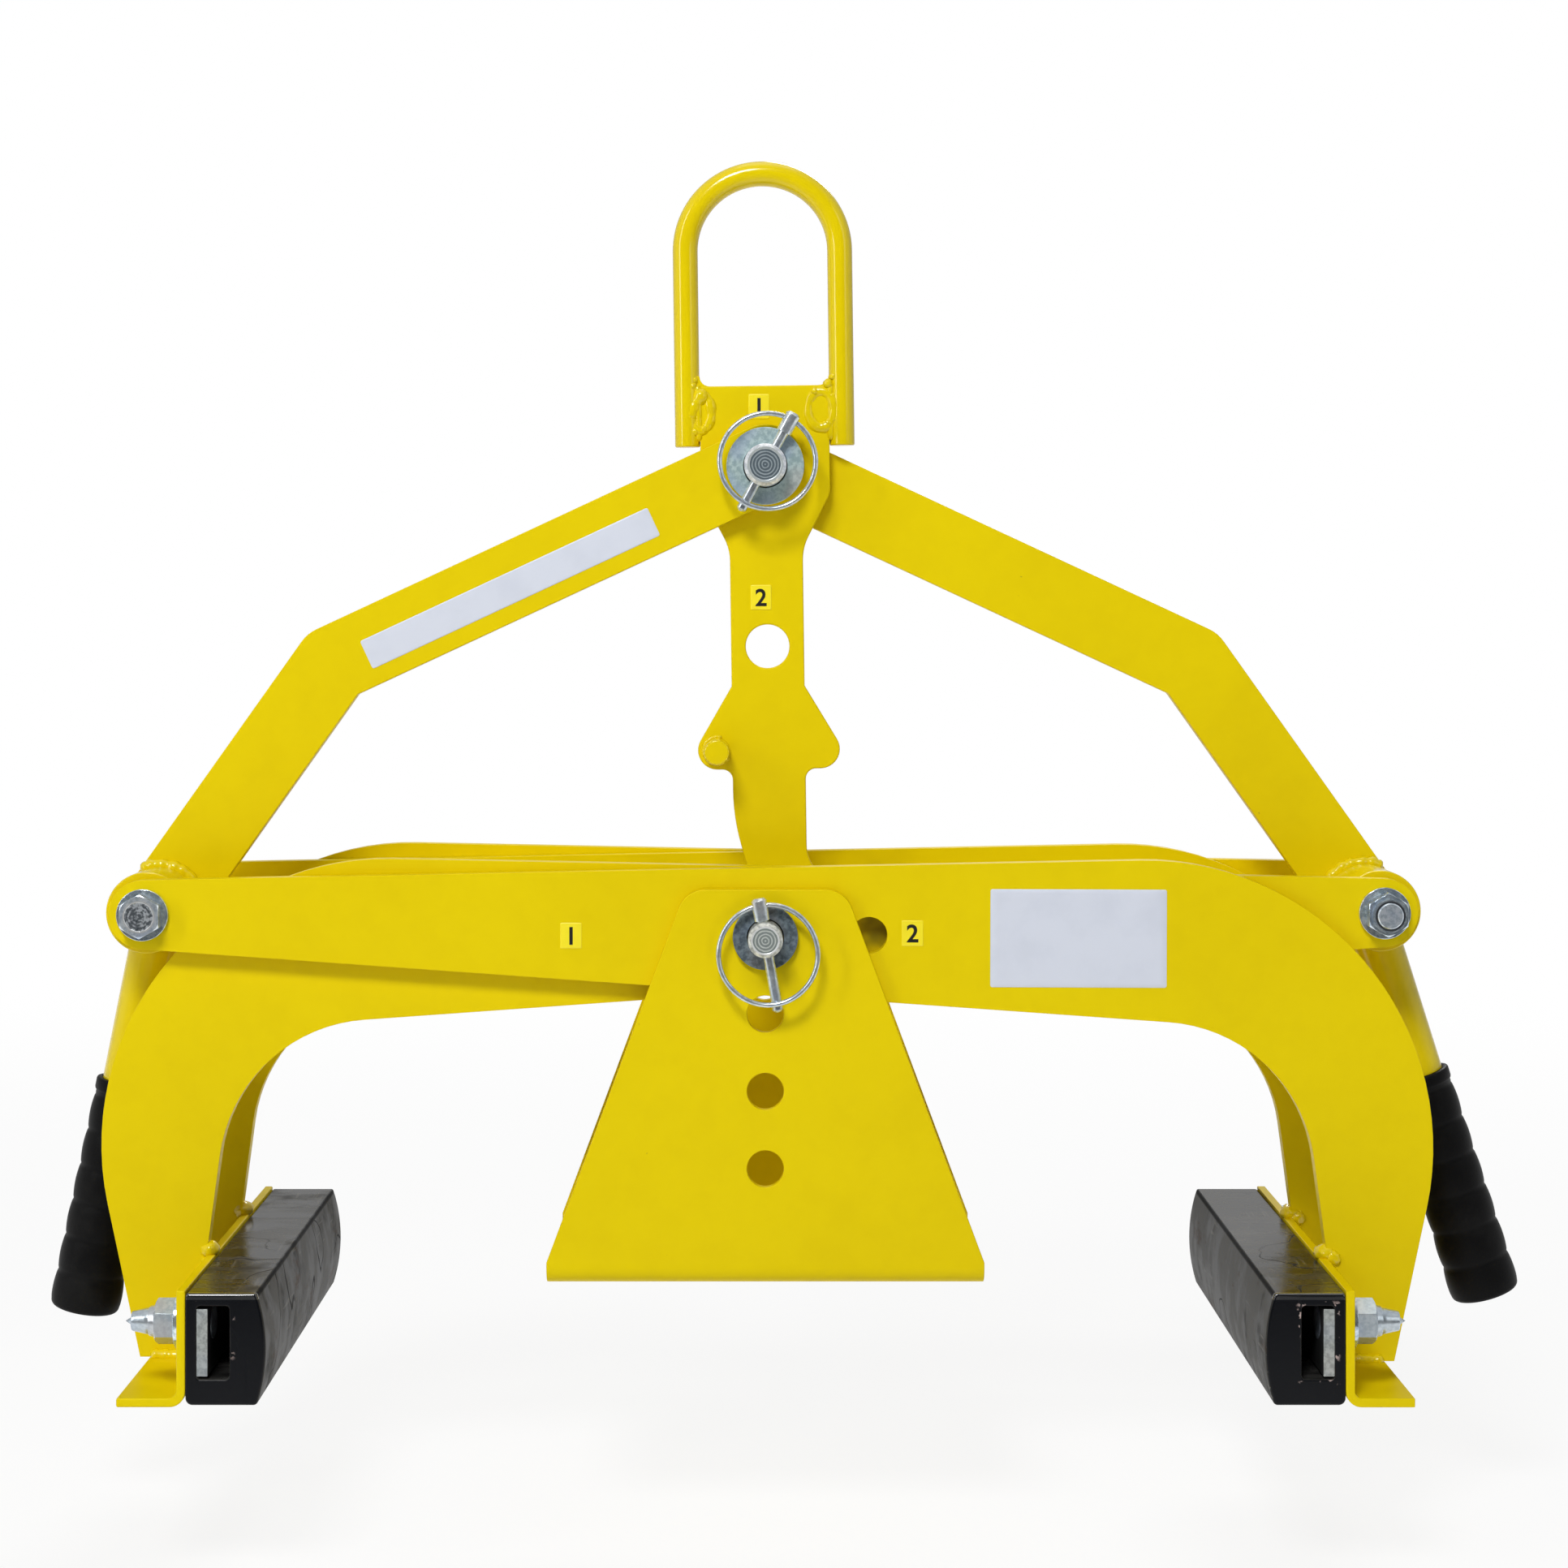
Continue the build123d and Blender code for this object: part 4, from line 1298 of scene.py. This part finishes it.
@dataclass
class LinkSet:
    """One link with its bush, handle and grip: the welds between them, and the moulded grip."""

    side: Side
    finishes: FinishSet
    pivot: Vector = field(default_factory=lambda: Vector((PIVOT_X, 0.0, PIVOT_Z)))
    bend: Vector = field(default_factory=lambda: Vector((206.2, 0.0, 325.8)))
    link_faces: Flat = (4.4, 12.4)
    bush_radius: float = 19.0
    bush_middle: float = 4.2
    saddle_half_deg: float = 64.0
    right_lean_deg: float = 17.5
    left_lean_deg: float = 11.2
    tube_radius: float = 12.5
    handle_length: float = 194.0
    grip_length: float = 111.0
    grip_cap: float = 3.0
    grip_bore: float = 12.6
    grip_radius: float = 14.5
    grip_growth: float = 1.4
    grip_swell: float = 0.8
    swell_count: int = 6
    swell_steps: int = 12
    notch_depth: float = 0.25
    rim_height: float = 6.0
    rim_step: float = 0.8
    plain_length: float = 2.2
    end_round: float = 2.7
    around: int = 72

    @property
    def lean(self) -> float:
        """Lean of this side's handle, in radians."""
        return radians(self.right_lean_deg if self.side is Side.RIGHT else self.left_lean_deg)

    @property
    def down(self) -> Vector:
        """Direction of the handle away from the pivot."""
        return Vector((sin(self.lean), 0.0, -cos(self.lean)))

    @property
    def out(self) -> Vector:
        """Direction across the handle, away from the tongs' middle."""
        return Vector((cos(self.lean), 0.0, sin(self.lean)))

    def build(self) -> None:
        """Make the link's pieces."""
        name, body, turn = self.side.value, self.side.link, self.side.turn
        make_welds(f"{name}_link_welds", self.saddle_welds(), self.finishes, body, turn)
        make_welds(f"{name}_handle_weld", [self.handle_weld()], self.finishes, body, turn)
        self.grip()

    def saddle_welds(self) -> list[WeldBead]:
        """Lay beads over the bush on both faces of the link.

        Returns:
            The two beads.
        """
        toward = (self.bend - self.pivot).normalized()
        level = Vector((toward.z, 0.0, -toward.x))
        half = radians(self.saddle_half_deg)
        beads = []
        for face, offset in zip(self.link_faces, (-1.0, 1.0)):
            middle = self.pivot + Vector((0.0, face + offset, 0.0))
            path = arc(middle, toward, level, self.bush_radius + 0.4, -half, half)
            beads.append(WeldBead(path, radius=3.0, seed=31.0 + face, pitch=5.0, ripple=0.13))
        return beads

    def handle_weld(self) -> WeldBead:
        """Lay a bead round the coped end of the handle tube.

        Returns:
            The bead.
        """
        radius = self.tube_radius + 0.5
        origin = self.pivot + Vector((0.0, self.bush_middle, 0.0))
        path = []
        for step in range(self.around):
            turn = FULL_TURN * step / self.around
            height = sqrt((self.bush_radius + 0.1) ** 2 - (self.tube_radius * cos(turn)) ** 2) + 0.4
            spoke = self.out * cos(turn) + BACK * sin(turn)
            path.append(origin + self.down * height + spoke * radius)
        return WeldBead(path, radius=1.9, seed=47.0, closed=True, pitch=4.0, ripple=0.08)

    def grip_profile(self) -> list[Flat]:
        """Draw the grip's outline from the floor of its bore round to its end.

        Returns:
            Radius, and distance along the handle from the pivot, of each point.
        """
        end = self.handle_length + self.grip_cap
        start = end - self.grip_length
        rim_end = start + self.rim_height
        swell_start = rim_end + self.plain_length
        pitch = (end - swell_start) / self.swell_count
        rim = self.grip_radius + self.rim_step
        profile = [(self.grip_bore, self.handle_length + 0.1), (self.grip_bore, start)]
        profile += [(rim - 1.0, start), (rim - 0.3, start + 0.3), (rim, start + 1.0)]
        profile += [(rim, rim_end - 1.0), (rim - 0.25, rim_end - 0.25), (self.grip_radius, rim_end + 0.1)]
        profile += [(self.grip_radius, swell_start - 0.4)]
        for swell in range(self.swell_count):
            near = self.grip_radius + self.grip_growth * swell / self.swell_count
            far = self.grip_radius + self.grip_growth * (swell + 1) / self.swell_count
            for step in range(self.swell_steps + 1):
                share = step / self.swell_steps
                bulge = self.grip_swell * (1.0 - (2.0 * share - 1.0) ** 2)
                notch = self.notch_depth if step in (0, self.swell_steps) else 0.0
                radius = near + (far - near) * share + bulge - notch
                profile.append((radius, swell_start + (swell + share) * pitch))
        cut = end - self.end_round
        profile = [point for point in profile if point[1] < cut - 0.2 or point[0] <= self.grip_bore]
        edge = self.grip_radius + self.grip_growth + 0.25
        for step in range(CORNER_STEPS + 1):
            turn = pi / 2 * step / CORNER_STEPS
            profile.append((edge - self.end_round * (1.0 - cos(turn)), cut + self.end_round * sin(turn)))
        profile += [(8.0, end - 0.05), (3.0, end - 0.15)]
        return profile

    def grip(self) -> None:
        """Make the grip in place of its CAD solid."""
        origin = self.pivot + Vector((0.0, self.bush_middle, 0.0))
        draft = MeshDraft()
        rows = []
        for radius, along in self.grip_profile():
            centre = origin + self.down * along
            rows.append(draft.circle(centre, self.out, BACK, radius, self.around))
        draft.tube(rows)
        draft.fan(rows[0], origin + self.down * (self.handle_length + 0.1))
        draft.fan(rows[-1], origin + self.down * (self.handle_length + self.grip_cap - 0.15))
        name = f"{self.side.value}_grip"
        piece = draft.piece(f"{name}_rubber", self.finishes.grip, self.side.link, Slot.GRIP, self.side.turn)
        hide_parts(name)


@dataclass
class Hanger:
    """The lifting hanger: the welds of its bail and its thumb peg."""

    finishes: FinishSet
    pin_height: float = TOP_PIN_Z
    tilt_deg: float = 0.75
    half_head: float = 31.0
    head_top: float = 39.0
    face: float = 4.0
    peg: Flat = (-24.7, -135.5)
    peg_radius: float = 6.0
    fillet: float = 5.0
    fillet_steps: int = 10
    fillet_depths: tuple[float, ...] = (-3.7, -3.5, 3.5, 3.7)
    fillet_bite: Flat = (1.4, 0.6)
    loop_points: int = 36
    body: str = "hanger"

    def at(self, x: float, y: float, depth: float) -> Vector:
        """A point by its place on the hanger plate, drawn about the top pin."""
        tilt = radians(self.tilt_deg)
        return Vector((x * cos(tilt) - y * sin(tilt), depth, self.pin_height + x * sin(tilt) + y * cos(tilt)))

    def build(self) -> None:
        """Make the hanger's pieces."""
        make_welds("bail_front_welds", self.front_welds(), self.finishes, self.body)
        make_welds("bail_back_welds", self.back_welds(), self.finishes, self.body)
        self.corner_fillets()
        make_welds("peg_weld", [self.peg_weld()], self.finishes, self.body)

    def loop(self, middle: Flat, radii: Flat, sink: float) -> list[Vector]:
        """A closed oval on the front of the head.

        Args:
            middle: Its middle.
            radii: Its half width and half height.
            sink: How far its line lies behind the face.

        Returns:
            The oval's points.
        """
        depth = -self.face + sink
        turns = [FULL_TURN * k / self.loop_points for k in range(self.loop_points)]
        return [self.at(middle[0] + radii[0] * cos(t), middle[1] + radii[1] * sin(t), depth) for t in turns]

    def front_welds(self) -> list[Weld]:
        """Lay lumpy loops of weld beside both legs, beads down the legs and drops between them.

        Returns:
            The welds.
        """
        heavy = ((-26.6, 36.4), (-29.4, 34.8), (-31.8, 32.4), (-33.8, 29.4), (-35.2, 26.0), (-35.0, 22.0))
        drops = (
            (-34.6, 39.0, 2.3),
            (-33.4, 42.0, 1.6),
            (-29.2, 18.4, 2.0),
            (-33.4, 17.2, 2.2),
            (-26.4, 28.0, 1.5),
            (30.6, 39.6, 2.4),
            (33.0, 43.0, 1.7),
            (24.0, 36.0, 1.9),
            (32.4, 33.4, 1.9),
            (30.4, 20.6, 2.0),
            (25.2, 18.6, 1.8),
            (33.2, 22.6, 1.6),
        )
        right_loop = self.loop((27.0, 27.4), (6.3, 8.8), 1.9)
        left_loop = self.loop((-30.6, 26.6), (5.0, 8.8), 1.9)
        heavy_seam = [self.at(x, y, -self.face + 2.0) for x, y in heavy]
        welds: list[Weld] = [
            WeldBead(right_loop, radius=3.1, seed=3.0, closed=True, pitch=7.0, ripple=0.07),
            WeldBead(left_loop, radius=3.0, seed=4.0, closed=True, pitch=7.0, ripple=0.07),
            WeldBead(heavy_seam, radius=3.8, seed=5.0, pitch=7.0, ripple=0.07),
        ]
        for side in (-1.0, 1.0):
            seam = [self.at(side * 31.7, y, -self.face + 0.7) for y in (40.0, 34.0, 28.0, 22.0, 16.0, 12.5)]
            welds.append(WeldBead(seam, radius=1.7, seed=6.0 + side, pitch=8.0, ripple=0.04))
        for index, (x, y, radius) in enumerate(drops):
            place = self.at(x, y, -self.face + 0.2)
            welds.append(WeldBlob(place, Vector((radius, radius * 0.9, radius)), 20.0 + index))
        return welds

    def back_welds(self) -> list[WeldBead]:
        """Lay straight beads down the back of both legs.

        Returns:
            The two beads.
        """
        beads = []
        for x in (-self.half_head - 0.6, self.half_head + 0.6):
            path = [self.at(x, y, self.face + 0.1) for y in (13.0, 21.0, 29.0, 36.5)]
            beads.append(WeldBead(path, radius=2.4, seed=9.0 + x, pitch=4.5, ripple=0.08))
        return beads

    def corner_fillets(self) -> None:
        """Hollow fillets in the corners between the head's top and the legs."""
        curve = [radians(-90.0 + 90.0 * k / self.fillet_steps) for k in range(self.fillet_steps + 1)]
        inner = self.half_head - self.fillet
        outer = self.half_head + self.fillet_bite[0]
        upper = self.head_top + self.fillet
        lower = self.head_top - self.fillet_bite[1]
        section = [(inner + self.fillet * cos(t), upper + self.fillet * sin(t)) for t in curve]
        section += [(outer, upper), (outer, lower), (inner, lower)]
        draft = MeshDraft()
        for side in (-1.0, 1.0):
            rows = []
            for depth in self.fillet_depths:
                rows.append(draft.row(self.at(side * x, y, depth) for x, y in section))
            draft.tube(rows)
            draft.faces.append(tuple(rows[0]))
            draft.faces.append(tuple(reversed(rows[-1])))
        piece = draft.piece("bail_corner_fillets", self.finishes.paint, self.body, Slot.PAINT)
        soften(piece, 0.4)

    def peg_weld(self) -> WeldBead:
        """Lay a thin bead round the lower left of the peg.

        Returns:
            The bead.
        """
        middle = self.at(*self.peg, -self.face - 0.2)
        path = arc(middle, RIGHT, UP, self.peg_radius + 0.4, radians(70), radians(330))
        return WeldBead(path, radius=0.9, seed=17.0)


@dataclass
class LockNutRings:
    """Nylon rings that show in the ends of the lock nuts, near black as painted shade of the gap round the
    bolt end.
    """

    finishes: FinishSet
    seat: Vector = field(default_factory=lambda: Vector((PIVOT_X, -60.4, PIVOT_Z)))
    inner: float = 6.15
    outer: float = 6.95
    proud: float = 0.25
    sunk: float = 0.4
    around: int = 48

    def build(self) -> None:
        """Make the rings of the two pivot nuts."""
        for side in Side:
            self.make(f"{side.value}_pivot_nut_ring", side.other.arm, side.turn)

    def make(self, name: str, body: str, turn: Matrix) -> None:
        """Make one ring.

        Args:
            name: The piece's name.
            body: The body that carries the nut.
            turn: Turn that brings it to its side.
        """
        ahead = -BACK
        side = ahead.orthogonal().normalized()
        up = ahead.cross(side)
        section = [(self.inner, -self.sunk), (self.inner, self.proud - 0.1), (self.inner + 0.15, self.proud)]
        section += [(self.outer - 0.15, self.proud), (self.outer, self.proud - 0.1), (self.outer, -self.sunk)]
        draft = MeshDraft()
        draft.tube(
            [
                draft.circle(self.seat + ahead * rise, side, up, radius, self.around)
                for radius, rise in section + section[:1]
            ]
        )
        draft.piece(name, self.finishes.nylon, body, turn=turn)


@dataclass
class Label:
    """A blank label: thin film with rounded corners on a face that looks to the front."""

    name: str
    middle: Vector
    size: Flat
    body: str
    material: bpy.types.Material
    lean_deg: float = 0.0
    corner: float = 1.0
    film: float = 0.16

    def build(self) -> None:
        """Make the label."""
        lean = radians(self.lean_deg)
        right, up = Vector((cos(lean), 0.0, sin(lean))), Vector((-sin(lean), 0.0, cos(lean)))
        wide, high = self.size[0] / 2.0, self.size[1] / 2.0
        corners = [(-wide, -high), (wide, -high), (wide, high), (-wide, high)]
        outline = rounded(corners, [self.corner] * 4)
        draft = MeshDraft()
        rows = []
        for shrink, rise in ((1.0, 0.0), (1.0, self.film * 0.7), (0.998, self.film), (0.9, self.film)):
            middle = self.middle - Vector((0.0, rise, 0.0))
            rows.append(draft.row(middle + (right * x + up * z) * shrink for x, z in outline))
        draft.tube(rows)
        draft.faces.append(tuple(rows[-1]))
        draft.faces.append(tuple(reversed(rows[0])))
        draft.piece(self.name, self.material, self.body)


@dataclass
class SettingMark:
    """A small yellow square with a plain number beside a setting hole."""

    name: str
    digit: str
    middle: Vector
    body: str
    finishes: FinishSet
    size: Flat = (10.0, 12.0)
    digit_height: float = 8.0
    cap_share: float = 0.7
    stroke: float = 0.22
    ink: float = 0.02
    lift: float = 0.2

    def build(self) -> None:
        """Make the square and its number."""
        film = self.finishes.mark
        Label(f"{self.name}_square", self.middle, self.size, self.body, film, corner=0.6).build()
        curve = bpy.data.curves.new(f"{self.name}_digit", "FONT")
        curve.body = self.digit
        curve.size = self.digit_height * MM / self.cap_share
        curve.align_x = "CENTER"
        curve.extrude = self.ink * MM
        curve.offset = self.stroke * MM
        outline = placed(f"{self.name}_outline", curve)
        bpy.context.view_layer.update()
        mesh = bpy.data.meshes.new_from_object(outline)
        bpy.data.objects.remove(outline)
        middle = (self.middle + PIN_LINE + Vector((0.0, -self.lift, -self.digit_height / 2.0))) * MM
        mesh.transform(Matrix.Translation(middle) @ Matrix.Rotation(pi / 2, 4, "X"))
        mesh.materials.clear()
        mesh.materials.append(self.finishes.ink)
        piece = placed(f"{self.name}_number", mesh)
        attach(piece, self.body)
        LOG.info("%s: number on %s", piece.name, self.body)


@dataclass
class CadDressing:
    """Materials and rounded edges for the CAD solids that stay in the picture."""

    nodes: dict[str, bpy.types.Object]
    record: dict
    finishes: FinishSet
    plate_edge: float = 0.7
    fastener_edge: float = 0.35
    wire_edge: float = 0.2

    def build(self) -> None:
        """Dress every CAD node."""
        slots = {row["node"]: row["material_slot"] for row in self.record["subparts"]}
        for name, node in self.nodes.items():
            material, edge = self.finish(name, slots[name])
            while len(node.data.materials) > 1:
                node.data.materials.pop()
            if not node.material_slots:
                node.data.materials.append(material)
            for place in node.material_slots:
                place.material = material
            soften(node, edge)
            LOG.info("%s: dressed as %s", name, material.name)

    def finish(self, name: str, slot: str) -> tuple[bpy.types.Material, float]:
        """Choose a node's material and the rounding of its edges.

        Args:
            name: The node's name.
            slot: Its slot in the record.

        Returns:
            The material and the rounding.
        """
        zinc, paint, wire = self.fastener_edge, self.plate_edge, self.wire_edge
        endings = (
            (("top_washer",), self.finishes.top_washer_zinc, zinc),
            (("centre_washer",), self.finishes.centre_washer_shaded_zinc, zinc),
            (("top_pin",), self.finishes.top_pin_zinc, zinc),
            (("centre_pin",), self.finishes.centre_pin_zinc, zinc),
            (("_pivot_bolt",), self.finishes.bolt_zinc, zinc),
            (("_linch_pin", "_linch_ring"), self.finishes.bright_zinc, wire),
            (("_clamp_bar",), self.finishes.dull_zinc, zinc),
            (("_pad_nuts", "_pad_bolts"), self.finishes.nut_zinc, zinc),
            (("depth_stop",), self.finishes.stop_paint, paint),
            (("_inner_plate",), self.finishes.inner_paint, paint),
            (("bail", "hanger_peg", "_bush", "_handle_tube"), self.finishes.gloss_paint, paint),
        )
        for ending, material, edge in endings:
            if name.endswith(ending):
                return material, edge
        plain = {
            Slot.PAINT: (self.finishes.paint, paint),
            Slot.ZINC: (self.finishes.fastener_zinc, zinc),
            Slot.PAD: (self.finishes.pad, paint),
            Slot.GRIP: (self.finishes.grip, paint),
        }
        return plain[Slot(slot)]


@dataclass
class SoftLamp:
    """A soft box that looks at the tongs."""

    name: str
    place_m: tuple[float, float, float]
    size_m: Flat
    power_w: float
    target_m: tuple[float, float, float] = (0.0, 0.0, 0.25)

    def build(self) -> None:
        """Make the lamp."""
        data = bpy.data.lights.new(self.name, "AREA")
        data.shape = "RECTANGLE"
        data.size, data.size_y = self.size_m
        data.energy = self.power_w
        lamp = placed(self.name, data)
        lamp.location = self.place_m
        aim = Vector(self.target_m) - Vector(self.place_m)
        lamp.rotation_euler = aim.to_track_quat("-Z", "Y").to_euler()


@dataclass
class Studio:
    """Plain pale floor, soft lamps, white surroundings with a dimmer front, and the camera."""

    white: Colour = (1.0, 1.0, 1.0)
    ambient: float = 0.09
    front_glow: float = 0.05
    mirror_glow: float = 0.62
    floor_half_m: float = 14.0
    floor_level_m: float = -0.087
    floor_colour: Colour = (0.90, 0.90, 0.90)
    floor_glow: float = 0.85
    camera_m: tuple[float, float, float] = (-0.011865, -1.454, 0.3544)
    focal_px: float = 3728.0
    principal_px: Flat = (938.5, 744.0)
    sensor_mm: float = 36.0
    sight_m: float = 100.0
    lamps: tuple[SoftLamp, ...] = (
        SoftLamp("left_lamp", (-1.75, -1.35, 1.0), (0.26, 1.5), 10.0),
        SoftLamp("front_lamp", (-0.6, -2.3, 2.45), (0.9, 0.7), 63.0),
        SoftLamp("right_lamp", (1.9, -1.7, 1.2), (0.8, 1.2), 4.0),
        SoftLamp("top_lamp", (0.1, 0.4, 2.6), (1.4, 1.4), 6.0),
        SoftLamp("back_lamp", (0.7, 2.5, 2.3), (1.2, 0.9), 46.0),
    )

    def build(self) -> None:
        """Make the studio."""
        scene = bpy.context.scene
        scene.view_settings.view_transform = "Standard"
        self.surroundings(scene)
        self.floor()
        for lamp in self.lamps:
            lamp.build()
        self.camera(scene)

    def surroundings(self, scene: bpy.types.Scene) -> None:
        """Make a world that is white to the camera, greyer in mirrors and dim there at the front.

        Args:
            scene: The scene that it goes round.
        """
        world = bpy.data.worlds.new("surroundings")
        world.use_nodes = True
        scene.world = world
        sheet = ShaderSheet(world.node_tree)
        _, depth, _ = sheet.split(sheet.node("ShaderNodeTexCoord", output="Generated"))
        front = (-depth).step(0.15, 0.8)
        shown = self.mirror_glow - front * (self.mirror_glow - self.front_glow)
        mirrored = sheet.ray("Glossy") * (shown - self.ambient)
        seen = sheet.ray("Camera").over(sheet.ray("Transmission"))
        strength = seen * (1.0 - self.ambient) + mirrored + self.ambient
        inputs = {"Color": solid(self.white), "Strength": strength}
        shader = sheet.node("ShaderNodeBackground", inputs=inputs)
        sheet.node_output("ShaderNodeOutputWorld", shader)

    def floor(self) -> None:
        """Make a pale floor, as low as the closed jaws reach, that keeps the shadow and fades to white."""
        sheet, material = ShaderSheet.of_material("pale_floor")
        x, y, _ = sheet.split(sheet.place())
        far = sheet.maths("SQRT", x * x + y * y).step(0.6, 2.2)
        near = (-y).step(0.3, 0.9) * sheet.ray("Glossy")
        glow = (sheet.seen_ray() * (far * (1.0 - self.floor_glow) + self.floor_glow)).over(near)
        matt = sheet.node("ShaderNodeBsdfDiffuse", inputs={"Color": solid(self.floor_colour)})
        shown = sheet.blend(near, self.white, (self.front_glow,) * 3)
        bright = sheet.node("ShaderNodeEmission", inputs={"Color": shown, "Strength": 1.0})
        shader = sheet.node("ShaderNodeMixShader", inputs={0: glow, 1: matt, 2: bright})
        sheet.node_output("ShaderNodeOutputMaterial", shader)
        half = self.floor_half_m
        level = self.floor_level_m
        mesh = bpy.data.meshes.new("floor")
        mesh.from_pydata(
            [(-half, -half, level), (half, -half, level), (half, half, level), (-half, half, level)],
            [],
            [(0, 1, 2, 3)],
        )
        mesh.materials.append(material)
        floor = placed("floor", mesh)

    def camera(self, scene: bpy.types.Scene) -> None:
        """Make a level camera with the photograph's place, lens and framing.

        Args:
            scene: The scene that it frames.
        """
        data = bpy.data.cameras.new("camera")
        data.sensor_width = self.sensor_mm
        data.lens = self.focal_px * self.sensor_mm / PHOTO_SIDE_PX
        data.shift_x = (PHOTO_SIDE_PX / 2 - self.principal_px[0]) / PHOTO_SIDE_PX
        data.shift_y = (self.principal_px[1] - PHOTO_SIDE_PX / 2) / PHOTO_SIDE_PX
        data.clip_end = self.sight_m
        camera = placed("camera", data)
        camera.location = self.camera_m
        camera.rotation_euler = (pi / 2, 0.0, 0.0)
        scene.camera = camera


def main() -> None:
    """Build the scene piece by piece."""
    logging.basicConfig(level=logging.INFO, format="%(name)s %(message)s")
    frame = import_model()
    finishes = FinishSet.make()
    CadDressing(frame["nodes"], frame["record"], finishes).build()
    for side in Side:
        TongArm(side, finishes).build()
        LinkSet(side, finishes).build()
    Hanger(finishes).build()
    LockNutRings(finishes).build()
    arm_front = TongArm.plates[0][0]
    link_front = -LinkSet.link_faces[1]
    plate_front = -Hanger.face
    film = finishes.label
    labels = (
        Label("arm_label", Vector((144.9, arm_front, 199.6)), (81.6, 45.4), Side.RIGHT.arm, film, -0.2),
        Label("link_label", Vector((-121.6, link_front, 361.8)), (151.0, 14.6), Side.LEFT.link, film, 24.95),
    )
    for label in labels:
        label.build()
    marks = (
        SettingMark("head_mark", "1", Vector((-3.0, plate_front, 449.0)), "hanger", finishes),
        SettingMark("strap_mark", "2", Vector((-2.0, plate_front, 357.5)), "hanger", finishes),
        SettingMark("arm_mark_near", "1", Vector((-89.9, arm_front, 200.9)), Side.RIGHT.arm, finishes),
        SettingMark("arm_mark_far", "2", Vector((68.1, arm_front, 202.0)), Side.RIGHT.arm, finishes),
    )
    for mark in marks:
        mark.build()
    Studio().build()
    bpy.context.view_layer.update()


if __name__ == "__main__":
    main()
